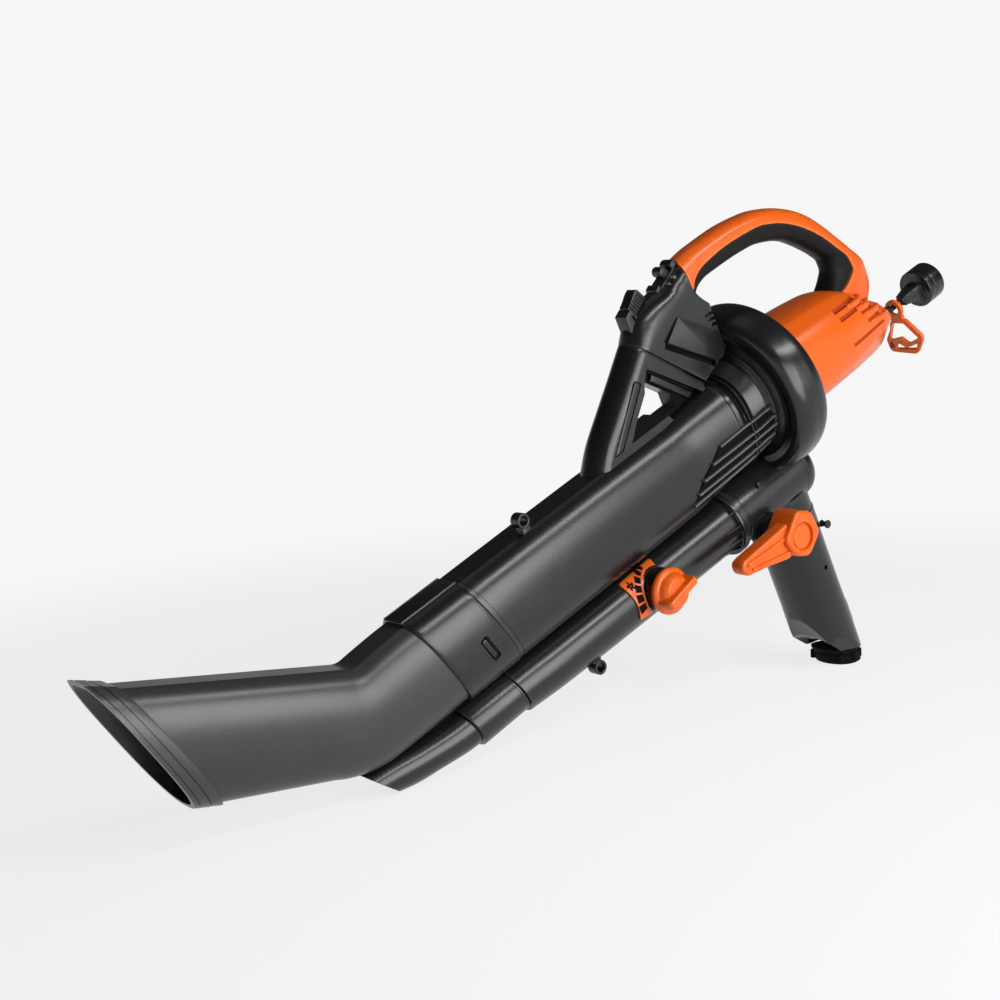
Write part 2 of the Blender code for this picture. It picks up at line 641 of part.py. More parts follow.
def rim_height(drop=PORT_FOOT_DROP, u=PORT_U):
    """Height w, at a place u along the tool, of the level plane that lies drop above the ground."""
    return (tip_floor() + drop - u * math.sin(TOOL_PITCH)) / math.cos(TOOL_PITCH)


def bag_port_neck(black):
    """The ring on which the bag seats, and on which the tool stands."""
    grow = 1 / math.cos(TOOL_PITCH)
    tilt = math.pi / 2 + TOOL_PITCH

    def level(drop, radius):
        return (PORT_U + 0.002, rim_height(drop, PORT_U + 0.002), tilt, radius, radius * grow, radius * grow * 0.78)

    r = 0.0322
    outside = [level(PORT_FOOT_DROP - GAP, r), level(0.0, r)]
    inner = [level(PORT_FOOT_DROP - GAP, r - 0.0055), level(0.0, r - 0.0055)]
    return shell("bag_port_neck", outside, 0.0, black, power=2.2, inner=inner)


# Handle, column and strut

def half_loft(name, stations, finish, steps=9):
    """A D-shaped bar. Each station: the middle of its flat side, its crown and its half width."""
    rings = []
    for (au, aw), (bu, bw), half_width in stations:
        t = np.linspace(0, math.pi, steps)
        c, s = np.cos(t), np.sin(t)
        y = half_width * np.sign(c) * np.abs(c) ** 0.8
        h = np.abs(s) ** 0.8
        rings.append(np.stack([au + (bu - au) * h, y, aw + (bw - aw) * h], -1) * 0.001)
    return finish_object(name, loft_mesh(name, rings, False), finish)


def handle_seam():
    """Where the orange shell meets the rubber grip, from the column round to the motor cover."""
    return [(316.2, 160), (327, 172.0), (345, 178.6), (386, 182), (434.5, 179), (464, 170), (491, 155),
            (512, 139), (529, 123), (546, 104), (558, 84.5), (560.5, 70), (548, 61), (525, 63)]


def handle_shell(orange):
    crown = [(318, 196.0), (334, 198.4), (348, 199.6), (388, 199.6), (438, 194.8), (470, 186.0), (500.5, 170.0),
             (522, 153.5), (540, 134.5), (560, 112), (576, 91), (594.5, 62), (597, 38), (583, 20)]
    width = HANDLE_HALF_WIDTH * 1000
    widths = [width + 2, width + 1] + [width] * 8 + [width + 1, width + 2, width + 3, width + 3]
    return half_loft("handle_shell", list(zip(handle_seam(), crown, widths)), orange)


def handle_grip(rubber):
    crown = [(323.5, 151.4), (334, 157.8), (352, 161.5), (385, 161.5), (425, 159), (454, 151), (480, 137),
             (494, 123), (508, 109), (521, 99), (528.5, 91), (530.5, 82), (529, 74.5), (520, 69)]
    width = HANDLE_HALF_WIDTH * 1000
    gap = GAP * 1000
    stations = []
    for (au, aw), (bu, bw) in zip(handle_seam(), crown):
        reach = math.hypot(bu - au, bw - aw)
        stations.append(((au + (bu - au) * 1.6 * gap / reach, aw + (bw - aw) * 1.6 * gap / reach), (bu, bw),
                         width))
    return half_loft("handle_grip", stations, rubber)


def metres(points):
    return [(a * 0.001, b * 0.001) for a, b in points]


def housing_seam(offset):
    """The joint between the strut and the column above it, moved along the tool by an offset."""
    return [(217.0 + offset, 149.0), (246.5 + offset, 114), (267.5 + offset, 83), (289.5 + offset, 62.0)]


def front_strut(black):
    """The leg from the suction tube up to the column, with a triangular window behind it."""
    gap = GAP * 1000
    top = TUBE_TOP * 1000 + gap
    rise = (TUBE_REAR_TOP - TUBE_TOP) * 1000
    low = top - 12
    border = [(95, low), (TUBE_REAR_U * 1000 - 4, low)]
    seam = housing_seam(-gap)[::-1]
    seam[0] = (TUBE_REAR_U * 1000 - 4, 66.5)
    front = [(185, 123), (156, 100), (128, 77)]
    strut = outline("front_strut", [metres(border + seam + front)], STRUT_HALF_WIDTH, (0, 0, 0), black)
    bevel(strut, 0.011, 3)
    window = outline("strut_window", [metres([(180, 73), (190, 77), (213, 98), (226, 86), (232, 70)])], 0.05,
                     (0, 0, 0), None, cutter=True)
    boolean(strut, window)
    size = (TUBE_HALF_WIDTH + GAP, TUBE_TOP + GAP, TUBE_BOTTOM)
    rear = (TUBE_REAR_HALF_WIDTH + GAP, TUBE_REAR_TOP + GAP, TUBE_REAR_BOTTOM)
    tube = [tube_station(u, *size, 0.0) for u in (0.0, TUBE_REAR_U - 0.080)]
    tube.append(tube_station(TUBE_REAR_U, *rear, 0.0))
    boolean(strut, solid("strut_tube_space", tube, None, flat=FLAT, cutter=True))
    return boolean(strut, catch_block("strut_catch_space", None, GAP))


def over_shroud(share, clear):
    """Height in mm of a point over the intake shroud, at a share of its rise from the tube to the fan's eye."""
    tube, eye = TUBE_REAR_TOP * 1000, (FAN_W + EYE_RADIUS) * 1000
    return tube + (eye - tube) * share + clear


def upper_housing(black):
    """The column that carries switch and handle, and the web between it and the fan drum."""
    gap = GAP * 1000
    seam = housing_seam(gap)
    front = [(226, 161), (240, 172), (258, 177.6), (280, 178.6), (281.2, 179.1), (314.5, 193.4)]
    handle_side = [(316.2, 194.5), (315.4, 159.6), (322, 151)]
    drum = VOLUTE_FRONT_U * 1000 - gap
    rear = [(drum, 142)] + [(u, over_shroud(share, clear)) for u, share, clear in
                            ((drum, 1.0, 8.5), (318, 0.67, 6.78), (293, 0.065, 4.76))]
    seam[-1] = (290.0, 66.4)
    body = outline("upper_housing", [metres(seam[::-1] + front + handle_side + rear)], COLUMN_HALF_WIDTH,
                   (0, 0, 0), black)
    bevel(body, 0.010, 3)
    pocket_u, pocket_w = tool_place(SWITCH_AT, -0.006, -0.0150, SWITCH_PITCH)
    pocket = box("switch_pocket", (0.0225, 0.0190, 0.0400), (pocket_u, 0.0, pocket_w), None,
                 pitch=SWITCH_PITCH, cutter=True)
    boolean(body, pocket)
    pocket_u, pocket_w = tool_place(LATCH_AT, 0.0020, -0.0060, LATCH_PITCH)
    latch_pocket = box("latch_pocket", (0.0290, 0.0156, 0.0160), (pocket_u, 0.0, pocket_w), None,
                       pitch=LATCH_PITCH, cutter=True)
    boolean(body, latch_pocket)
    return boolean(body, catch_block("housing_catch_space", None, GAP))


def catch_block(name, finish, clearance=0.0):
    """The fixed block under the latch; with a clearance and no finish, the room that it takes."""
    u, w = CATCH_AT
    size = tuple(length + 2 * clearance for length in (0.0170, 0.0180, 0.0260))
    return box(name, size, (u, 0.0, w), finish, CATCH_PITCH, 0.0 if clearance else 0.002,
               cutter=finish is None)


# Switch and latch

def tool_place(at, along, across, pitch):
    """A place given along and square to a slope through a point."""
    return (at[0] + along * math.cos(pitch) - across * math.sin(pitch),
            at[1] + along * math.sin(pitch) + across * math.cos(pitch))


def power_switch(black):
    u, w = tool_place(SWITCH_AT, 0.0, 0.0, SWITCH_PITCH)
    plate = box("switch_plate", (0.039, 0.0235, 0.003), (u, 0.0, w), black, SWITCH_PITCH, 0.0008)
    slot = box("switch_slot", (0.0200, 0.0090, 0.010), (u, 0.0, w), None, SWITCH_PITCH, cutter=True)
    boolean(plate, slot)
    ku, kw = tool_place(SWITCH_AT, 0.0048, 0.0045, SWITCH_PITCH)
    knob = box("power_switch", (0.010, 0.0140, 0.0048), (ku, 0.0, kw), black, SWITCH_PITCH, 0.0008)
    su, sw = tool_place(SWITCH_AT, 0.0048, 0.0009, SWITCH_PITCH)
    stem = box("switch_stem", (0.0070, 0.0060, 0.0046), (su, 0.0, sw), None, SWITCH_PITCH, cutter=True)
    boolean(knob, stem, "UNION")
    bu, bw = tool_place(SWITCH_AT, -0.006, -0.0190, SWITCH_PITCH)
    body = box("switch_body", (0.022, 0.018, 0.020), (bu, 0.0, bw), black, SWITCH_PITCH, 0.0008)
    return plate, knob, body


def housing_latch(black):
    u, w = LATCH_AT
    latch = box("housing_latch", (0.0200, 0.0146, 0.0150), (u, 0.0, w), black, LATCH_PITCH, 0.0015)
    for k in range(3):
        ru, rw = tool_place(LATCH_AT, -0.0050 + 0.005 * k, 0.0072, LATCH_PITCH)
        boolean(latch, box(f"latch_rib_{k}", (0.0016, 0.030, 0.0016), (ru, 0.0, rw), None, LATCH_PITCH,
                           cutter=True))
    return latch, catch_block("latch_catch", black)


# Motor

def cover_sections(inset):
    """Sections of the motor cover, front to rear, shrunk by an inset."""
    rows = [(COVER_FRONT_U * 1000, 16.5, 56.5, 57.5, 57.5), (445, 14.2, 55, 54, 55), (495, 10.5, 51, 52, 51.5),
            (525, 8, 46, 50, 49), (560, -2.5, 39, 37, 38), (584, -10.5, 29, 26, 27.5), (598, -17.6, 14, 13, 13)]
    return [(u * 0.001 - inset * reach, w * 0.001, 0.0, hw * 0.001 - inset, up * 0.001 - inset,
             down * 0.001 - inset) for (u, w, hw, up, down), reach in zip(rows, (0, 0, 0, 0.2, 0.6, 0.9, 1.6))]


def motor_cover(orange):
    outside = [ring(*s, 2.3) for s in cover_sections(0.0)]
    inside = [ring(*s, 2.3) for s in cover_sections(COVER_WALL)]
    mesh = loft_mesh("motor_cover", inside[::-1] + outside, False)
    cover = finish_object("motor_cover", mesh, orange)
    for side in (-1, 1):
        for k in range(4):
            u = 0.456 + 0.015 * k
            at = (u, side * 0.052, 0.034)
            slot = box(f"cover_slot_{side}_{k}", (0.0045, 0.030, 0.026), at, None, 0.0, cutter=True)
            boolean(cover, slot)
    cord_way = rod("cover_cord_way", CORD_RADIUS + GAP, 0.030, (0.600, 0.0, CORD_W), "u", None, sides=20,
                   cutter=True)
    return boolean(cover, cord_way)


def motor_bulkhead(black):
    """Carries the front bearing and closes the drum's rear."""
    outer = 0.0540 - GAP
    bore = BEARING_RADIUS + GAP
    profile = [(bore, 0.0), (0.018, 0.0), (0.018, 0.004), (outer, 0.004), (outer, 0.0065), (0.018, 0.0065),
               (0.018, 0.0120), (bore, 0.0120)]
    return turned("motor_bulkhead", profile, (VOLUTE_REAR_U - 0.0075, 0.0, FAN_W), "u", black, True, 28)


def impeller(name, metal, start_u, radius, blades, depth, plate=0.003):
    """A disc with a hub and radial blades on its front side."""
    bore = SHAFT_RADIUS + 0.0001
    hub = SHAFT_RADIUS + 0.006
    profile = [(bore, -depth * 0.8), (hub, -depth * 0.8), (hub + 0.002, 0.0), (radius, 0.0), (radius, plate),
               (bore, plate)]
    disc = turned(name, profile, (start_u, 0.0, FAN_W), "u", metal, True, 24)
    for k in range(blades):
        a = 2 * math.pi * k / blades
        reach = (radius + hub) / 2
        blade = box(f"{name}_blade_{k}", (depth + 0.001, radius - hub - 0.002, 0.0025),
                    (start_u - depth / 2 + 0.0005, reach * math.cos(a), FAN_W + reach * math.sin(a)), None,
                    cutter=True)
        blade.rotation_euler = (a, 0.0, 0.0)
        boolean(disc, blade, "UNION")
    return disc


def motor_inside(steel, copper, carbon, black):
    rod("fan_shaft", SHAFT_RADIUS - 0.0001, 0.164, (0.4250, 0.0, FAN_W), "u", steel, sides=16)
    for name, u in (("front_bearing", VOLUTE_REAR_U - 0.0015), ("rear_bearing", 0.5000)):
        profile = [(SHAFT_RADIUS + 0.0001, -0.0035), (BEARING_RADIUS, -0.0035), (BEARING_RADIUS, 0.0035),
                   (SHAFT_RADIUS + 0.0001, 0.0035)]
        turned(name, profile, (u, 0.0, FAN_W), "u", steel, True, 24)
    impeller("impeller", black, VOLUTE_REAR_U - 0.0155, IMPELLER_RADIUS, 7, 0.024)
    impeller("cooling_fan", black, 0.4040, 0.034, 6, 0.007, 0.002)
    bore = SHAFT_RADIUS + 0.0001
    turned("armature", [(bore, 0.0), (0.009, 0.0), (ARMATURE_RADIUS - 0.004, 0.003), (ARMATURE_RADIUS, 0.006),
                        (ARMATURE_RADIUS, 0.044), (ARMATURE_RADIUS - 0.004, 0.047), (0.009, 0.050),
                        (bore, 0.050)], (0.4120, 0.0, FAN_W), "u", copper, True, 24)
    turned("commutator", [(bore, 0.0), (0.011, 0.0), (0.011, 0.018), (bore, 0.018)], (0.4680, 0.0, FAN_W), "u",
           copper, True, 24)
    inner = ARMATURE_RADIUS + 0.001
    turned("stator", [(inner, 0.0), (0.036, 0.0), (0.036, 0.040), (inner, 0.040)], (0.4170, 0.0, FAN_W), "u",
           steel, True, 32)
    for name, side in (("brush_near", -1), ("brush_far", 1)):
        box(name, (0.008, 0.018, 0.006), (0.4770, side * (0.011 + GAP + 0.009), FAN_W), carbon)
    bracket = [(BEARING_RADIUS + GAP, -0.004), (0.016, -0.004), (0.016, 0.001), (0.038, 0.001), (0.038, 0.004),
               (BEARING_RADIUS + GAP, 0.004)]
    turned("motor_bracket", bracket, (0.5000, 0.0, FAN_W), "u", black, True, 28)


# Cord and hook

def cord_end(black, brass, orange):
    w = CORD_W
    profile = [(CORD_RADIUS + GAP, 0.0), (0.0065, 0.0), (0.0070, 0.004), (0.0055, 0.009),
               (0.0050, 0.016), (CORD_RADIUS + GAP, 0.016)]
    turned("strain_relief", profile, (0.6015, 0.0, w), "u", black, True, 20)
    rod("pigtail_cord", CORD_RADIUS, 0.080, (0.6290, 0.0, w), "u", black, sides=20)
    r, wall = PLUG_RADIUS, 0.0025
    start = 0.638
    shoulder = PLUG_FRONT_U - start
    end = PLUG_REAR_U - start
    deck = end - 0.012
    plug = [(CORD_RADIUS + GAP, 0.0), (0.0075, 0.0), (0.0095, shoulder - 0.006), (r - 0.005, shoulder),
            (r, shoulder + 0.003), (r, end), (r - wall, end), (r - wall, deck), (0.0, deck),
            (0.0, 0.0325), (CORD_RADIUS + GAP, 0.0325)]
    turned("plug", plug, (start, 0.0, w), "u", black, True, 24)
    for name, side in (("plug_blade_near", -1), ("plug_blade_far", 1)):
        box(name, (0.0110, 0.0016, 0.0065), (start + deck + GAP + 0.0055, side * 0.0065, w), brass, edge=0.0003)
    cord_hook(orange)


def cord_hook(orange):
    """A flat loop that hangs by its eye on the cord's neck. Points are (y, w) in millimetres."""
    drop = HOOK_HOLE_RADIUS - CORD_RADIUS - RUN
    centre = CORD_W - drop
    w = CORD_W * 1000
    ring_outer = arc((0.0, centre), 0.0120, -35, 215, 11)
    frame = metres([(-13, -34), (-31, -55.5), (-30, -62), (-19, -78), (-14, -80.5), (20, -78), (23.5, -74),
                    (24.5, -61), (14, -47), (11, -36.5)])
    hole = arc((0.0, centre), HOOK_HOLE_RADIUS, 0, 330, 12)
    window = metres([(8, w - 21), (11, w - 28), (20, w - 45), (2, w - 41), (-7, w - 49), (-25, w - 41),
                     (-12, w - 25), (-9, w - 21)])
    lower = metres([(13, -70.5), (6, -66.5), (-2, -72), (-10, -70), (-21, -66), (-17, -74), (14, -74)])
    outline("cord_hook", [ring_outer + frame, hole, window, lower], HOOK_HALF_THICKNESS, (HOOK_U, 0, 0), orange,
            turn=(math.pi / 2, 0.0, math.pi / 2))


# Controls

def mode_lever(orange, black, steel):
    depth = LEVER_BACK_Y - LEVER_FACE_Y
    r = LEVER_HUB_RADIUS
    profile = [(0.0, 0.0), (r, 0.0), (r, depth - 0.003), (r - 0.002, depth), (0.016, depth),
               (0.015, depth - 0.006), (0.0, depth - 0.006)]
    hub = turned("mode_lever", profile, (LEVER_U, LEVER_BACK_Y, LEVER_W), "y", orange, True, 32)
    arm = arc((0.0, 0.0), 0.0215, -70, 80, 9)
    tip = metres([(-40, 18), (-86, 15.5), (-92, 12), (-92, 4), (-86, 0.5), (-40, -8)])
    lever_arm = outline("lever_arm", [arm + tip], 0.0050, (LEVER_U, LEVER_BACK_Y - 0.0220, LEVER_W), None,
                        cutter=True)
    boolean(hub, lever_arm, "UNION")
    socket = rod("lever_socket", LEVER_SHAFT_RADIUS + 0.0001, 0.012, (LEVER_U, LEVER_BACK_Y, LEVER_W), "y",
                 None, sides=16, cutter=True)
    boolean(hub, socket)
    near, far = LEVER_BACK_Y - 0.0055, 0.0225
    rod("lever_shaft", LEVER_SHAFT_RADIUS, far - near, (LEVER_U, (near + far) / 2, LEVER_W), "y", steel,
        sides=16)
    flap = box("diverter_flap", (FLAP_LENGTH, 2 * FLAP_HALF_WIDTH, 0.0025), (LEVER_U + FLAP_LENGTH / 2, 0.0,
               LEVER_W), black)
    sleeve = rod("flap_sleeve", LEVER_SHAFT_RADIUS + 0.0018, 0.0180, (LEVER_U, 0.0, LEVER_W), "y",
                 None, sides=20, cutter=True)
    boolean(flap, sleeve, "UNION")
    boolean(flap, rod("flap_bore", LEVER_SHAFT_RADIUS + 0.0001, 0.060, (LEVER_U, 0.0, LEVER_W), "y", None,
                      sides=16, cutter=True))


def airflow_dial(orange, black, steel):
    w = blow_axis(DIAL_U)[0]
    radius = blow_axis(DIAL_U)[1]
    thick = DIAL_BACK_Y - DIAL_FACE_Y
    profile = [(0.0, 0.0), (DIAL_RADIUS, 0.0), (DIAL_RADIUS, thick - 0.0015), (DIAL_RADIUS - 0.0015, thick),
               (0.0, thick)]
    dial = turned("airflow_dial", profile, (DIAL_U, DIAL_BACK_Y, w), "y", orange, False, 32)
    grip_depth = DIAL_FACE_Y - DIAL_GRIP_Y
    bar = box("dial_bar", (0.047, grip_depth + 0.001, 0.0085), (DIAL_U, DIAL_FACE_Y - grip_depth / 2 + 0.0005, w),
              None, DIAL_PITCH, cutter=True)
    boolean(dial, bar, "UNION")
    boolean(dial, rod("dial_socket", 0.0031, 0.012, (DIAL_U, DIAL_BACK_Y, w), "y", None, sides=16, cutter=True))
    back = DIAL_BACK_Y + GAP
    depth = abs(back) - 0.024
    base = rod("dial_base", 0.0235, depth, (DIAL_U, back + depth / 2, w), "y", black)
    boolean(base, blow_space("dial_base_space"))
    boolean(base, rod("dial_base_bore", 0.003 + RUN, 0.060, (DIAL_U, -0.040, w), "y", None, sides=16,
                      cutter=True))
    near, far = DIAL_BACK_Y - 0.0055, radius - 0.004
    rod("damper_shaft", 0.0030, far - near, (DIAL_U, (near + far) / 2, w), "y", steel, sides=16)
    disc = rod("damper_disc", DAMPER_RADIUS, 0.0020, (DIAL_U, 0.0, w), "w", black, sides=28)
    boolean(disc, rod("disc_sleeve", 0.0045, 0.030, (DIAL_U, 0.0, w), "y", None, sides=16, cutter=True), "UNION")
    boolean(disc, rod("disc_bore", 0.0031, 0.080, (DIAL_U, 0.0, w), "y", None, sides=16, cutter=True))
    crescent = arc((DIAL_U, w), DIAL_RADIUS + 0.0006, 104, 197, 8)
    crescent += metres([(96, -104), (77, -101), (68.5, -84), (73, -68), (100, -66), (114, -65.5)])
    plate = outline("dial_scale_plate", [crescent], 0.0210, (0, -0.0220, 0), orange)
    boolean(plate, blow_space("scale_plate_skin", 0.0022), "INTERSECT")
    boolean(plate, blow_space("scale_plate_space"))


# Small pieces

def strap_eye(name, u, w, foot, black):
    outer, inner = 0.0080, 0.0048
    profile = [(inner, 0.0), (outer, 0.0), (outer, 0.0130), (inner, 0.0130)]
    eye = turned(name, profile, (u, -0.0080, w), "y", black, True, 20)
    way = 1 if foot > w else -1
    length = abs(foot - w) - 0.0062
    pad = box(name + "_foot", (0.0120, 0.0110, length), (u, -0.0145, w + way * (0.0062 + length / 2)), None,
              cutter=True)
    boolean(eye, pad, "UNION")
    return eye


def strap_eyes(black):
    strap_eye("strap_eye_top", 0.003, 0.0650, TUBE_TOP + GAP, black)
    eye = strap_eye("strap_eye_lower", 0.020, -0.1270, -0.1160, black)
    boolean(eye, blow_space("strap_eye_space"))


def bag_fittings(black, steel):
    foot_w = rim_height(0.016)
    rear = PORT_U + PORT_RADIUS
    box("bag_latch", (0.0050, 0.0180, 0.0300), (rear + 0.0053, 0.0, foot_w + 0.030), black, edge=0.0008)
    rod("bag_latch_pin", 0.0015, 0.0220, (rear + 0.0010, 0.0, foot_w + 0.040), "y", steel, sides=14)
    boss = turned("strap_stud", [(0.0, 0.0), (0.0045, 0.0), (0.0030, 0.003), (0.0030, 0.007), (0.0050, 0.009),
                                 (0.0, 0.011)], (PORT_U + 0.0292, -0.0262, -0.1680), "y", black, False, 18)
    return boss


def screw(name, at, steel):
    """A pan head with a cross recess, facing the control side."""
    profile = [(0.0, 0.0), (0.0035, 0.0), (0.0033, 0.0012), (0.0020, 0.0020), (0.0, 0.0022)]
    head = turned(name, profile, at, "y", steel, False, 16)
    for turn in (0, 1):
        size = (0.0040, 0.0020, 0.0008) if turn else (0.0008, 0.0020, 0.0040)
        boolean(head, box(f"{name}_slot_{turn}", size, (at[0], at[1] - 0.0020, at[2]), None, cutter=True))
    return head


# Looks of the plastics, metals and rubbers, and the pieces in their order

def build():
    black = material("black_plastic", (0.035, 0.036, 0.038), 0.42)
    orange = material("orange_plastic", (0.80, 0.13, 0.015), 0.38)
    rubber = material("grip_rubber", (0.020, 0.020, 0.021), 0.68)
    steel = material("steel", (0.55, 0.55, 0.56), 0.32, 1.0)
    copper = material("copper", (0.72, 0.35, 0.18), 0.38, 1.0)
    carbon = material("carbon", (0.03, 0.03, 0.03), 0.75)
    brass = material("brass", (0.76, 0.56, 0.24), 0.30, 1.0)
    suction_tube(black)
    suction_nozzle(black)
    nozzle_collar(black)
    snap_button("snap_button_near", -1, black)
    snap_button("snap_button_far", 1, black)
    intake_shroud(black)
    louvre_fins(black)
    blow_tube(black)
    blow_collar(black)
    blow_nozzle(black)
    volute(black, black)
    diverter_housing(black)
    diverter_ring(black)
    bag_port(black)
    bag_port_neck(black)
    front_strut(black)
    upper_housing(black)
    handle_shell(orange)
    handle_grip(rubber)
    power_switch(black)
    housing_latch(black)
    motor_cover(orange)
    motor_bulkhead(black)
    motor_inside(steel, copper, carbon, black)
    cord_end(black, brass, orange)
    mode_lever(orange, black, steel)
    airflow_dial(orange, black, steel)
    strap_eyes(black)
    bag_fittings(black, steel)
    screw("screw_diverter", (0.3000, -0.0320, -0.0700), steel)


clear_scene()
PARTS = collection(COLLECTION)
CUTTERS = collection("cutters")
TOOL = bpy.data.objects.new("tool_frame", None)
bpy.context.scene.collection.objects.link(TOOL)
TOOL.rotation_euler = (0.0, -TOOL_PITCH, 0.0)
TOOL.location = (-middle(), 0.0, -tip_floor())
build()
bpy.context.view_layer.update()
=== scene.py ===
import math
import bpy
import numpy as np
from mathutils import Matrix, Vector


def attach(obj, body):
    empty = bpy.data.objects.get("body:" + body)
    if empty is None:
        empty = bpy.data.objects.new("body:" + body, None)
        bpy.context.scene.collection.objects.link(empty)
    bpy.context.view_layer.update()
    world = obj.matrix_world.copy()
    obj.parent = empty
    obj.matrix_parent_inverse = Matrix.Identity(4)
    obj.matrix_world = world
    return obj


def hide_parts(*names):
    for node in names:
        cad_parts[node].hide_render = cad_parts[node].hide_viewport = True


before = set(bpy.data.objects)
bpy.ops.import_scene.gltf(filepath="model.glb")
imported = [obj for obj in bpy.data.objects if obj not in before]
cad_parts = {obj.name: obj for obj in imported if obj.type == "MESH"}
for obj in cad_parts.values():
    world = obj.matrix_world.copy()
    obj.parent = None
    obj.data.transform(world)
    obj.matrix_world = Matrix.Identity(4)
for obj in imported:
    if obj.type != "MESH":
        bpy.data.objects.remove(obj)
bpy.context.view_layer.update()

print("frame loaded with", len(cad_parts), "nodes")

# The tool's own frame: u along the suction tube towards the motor, y across it, w square to the tube. It is
# turned up by the pitch and set down on the ground.
stand = {"pitch": math.radians(23.2), "along": -0.0777164, "height": 0.1833858}


def addObject(name, data):
    made = bpy.data.objects.new(name, data)
    bpy.context.scene.collection.objects.link(made)
    return made


def toRow(points):
    # a turn about the y axis by the pitch, then a shift
    c, s = math.cos(stand["pitch"]), math.sin(stand["pitch"])
    u, y, w = points[..., 0], points[..., 1], points[..., 2]
    return np.stack([u * c - w * s + stand["along"], y, u * s + w * c + stand["height"]], -1)


# Camera, at the photograph's angle

view = {"place": (-1.1538, -1.3542, 0.5291), "right": (0.7856, -0.6157, -0.0618),
        "up": (0.1423, 0.0824, 0.9864), "lens": 61.92, "sensor": 36.0}


def makeCamera():
    # the view's right and up, made square to each other, give the camera's turn
    right, up = np.array(view["right"]), np.array(view["up"])
    right = right / np.linalg.norm(right)
    up = up - right * (up @ right)
    up = up / np.linalg.norm(up)
    axes = np.stack([right, up, np.cross(right, up)], 1)
    data = bpy.data.cameras.new("camera")
    data.lens, data.sensor_width = view["lens"], view["sensor"]
    camera = addObject("camera", data)
    seat = Matrix(axes.tolist()).to_4x4()
    seat.translation = view["place"]
    camera.matrix_world = seat
    bpy.context.scene.camera = camera


makeCamera()
print("camera placed")


# Surfaces worked out on grids

def millimetres(points):
    return np.asarray(points, float) * 0.001


def glide(x, rows, at):
    # cubic through rows at x that keeps their shape: each knot's slope is the harmonic mean of the two
    # chords beside it, or zero where they turn
    x, rows, at = np.asarray(x, float), np.asarray(rows, float), np.asarray(at, float)
    span = np.diff(x)[:, None]
    chord = np.diff(rows, axis=0) / span
    slope = np.zeros_like(rows)
    both = chord[:-1] * chord[1:]
    total = chord[:-1] + chord[1:]
    slope[1:-1] = np.where(both > 0, 2 * both / np.where(both > 0, total, 1.0), 0.0)
    slope[0], slope[-1] = chord[0], chord[-1]
    k = np.clip(np.searchsorted(x, at, side="right") - 1, 0, len(x) - 2)
    t = ((at - x[k]) / span[k, 0])[:, None]
    return ((2 * t**3 - 3 * t**2 + 1) * rows[k] + (t**3 - 2 * t**2 + t) * span[k] * slope[k]
            + (3 * t**2 - 2 * t**3) * rows[k + 1] + (t**3 - t**2) * span[k] * slope[k + 1])


def distances(points):
    # how far along a line its points are
    return np.concatenate([[0], np.cumsum(np.linalg.norm(np.diff(points, axis=0), axis=1))])


def between(rows, steps):
    # straight rows between stations: steps says how many fall in each span
    rows = np.asarray(rows, float)
    steps = np.broadcast_to(steps, len(rows) - 1)
    at = np.concatenate([k + np.arange(n) / n for k, n in enumerate(steps)] + [[len(rows) - 1.0]])
    k = np.clip(at.astype(int), 0, len(rows) - 2)
    t = (at - k)[:, None]
    return rows[k] * (1 - t) + rows[k + 1] * t


def skin(rings, closed=False):
    # quads between a row of closed rings; closed joins the last ring to the first, as the two sides of a
    # wall do, and otherwise a flat face ends the surface at both ends
    rows, cols = rings.shape[:2]
    r = np.arange(rows if closed else rows - 1)[:, None]
    c = np.arange(cols)[None, :]
    nextR, nextC = (r + 1) % rows, (c + 1) % cols
    corners = np.broadcast_arrays(r * cols + c, r * cols + nextC, nextR * cols + nextC, nextR * cols + c)
    quads = np.stack(corners, -1).reshape(-1, 4)
    ends = [] if closed else [list(range(cols))[::-1], list(range((rows - 1) * cols, rows * cols))]
    return rings.reshape(-1, 3), quads, ends


def swell(x, power):
    # the size of x to a power, with the sign of x
    return np.sign(x) * np.abs(x) ** power


def sections(table, power=2.6, flat=1.0, sides=144):
    # superellipse rings, one for each row (u, w, tilt, half width, up, down): y = width times
    # cos^(2/power), h = up or down times sin^(2/power), cut level at a share of up, and h leans by the tilt
    table = np.asarray(table, float)
    t = (np.arange(sides) + 0.5) * 2 * math.pi / sides
    c, s = np.cos(t), np.sin(t)
    u, w, tilt, wide, up, down = (table[:, k, None] for k in range(6))
    power, flat = (np.asarray(x, float).reshape(-1, 1) for x in (power, flat))
    y = wide * swell(c, 2 / power)
    h = np.where(s > 0, up, down) * swell(s, 2 / power)
    h = np.minimum(h, flat * up)
    return np.stack([u + h * np.sin(tilt), y + 0 * h, w + h * np.cos(tilt)], -1)


bothSides = ("near", "far")


def facing(way, at=(0.0, 0.0, 0.0), pitch=0.0):
    # origin and three directions (across, up, out) for shapes drawn on a flat: near looks out of the
    # control side, rear along the tube, top away from it; the pitch raises the u side
    axes = {"near": ((1, 0, 0), (0, 0, 1), (0, -1, 0)), "far": ((1, 0, 0), (0, 0, 1), (0, 1, 0)),
            "rear": ((0, 1, 0), (0, 0, 1), (1, 0, 0)), "top": ((1, 0, 0), (0, 1, 0), (0, 0, 1))}[way]
    c, s = math.cos(pitch), math.sin(pitch)
    turn = np.array([[c, 0, -s], [0, 1, 0], [s, 0, c]])
    return [np.array(at, float)] + [turn @ np.array(a, float) for a in axes]


def spun(profile, place, sides=96, closed=False):
    # a profile of (radius, height) turned about the out direction of a facing
    profile = np.asarray(profile, float)
    origin, across, up, out = place
    t = np.arange(sides) * 2 * math.pi / sides
    around = np.cos(t)[:, None] * across + np.sin(t)[:, None] * up
    return skin(origin + profile[:, None, :1] * around + profile[:, None, 1:] * out, closed)


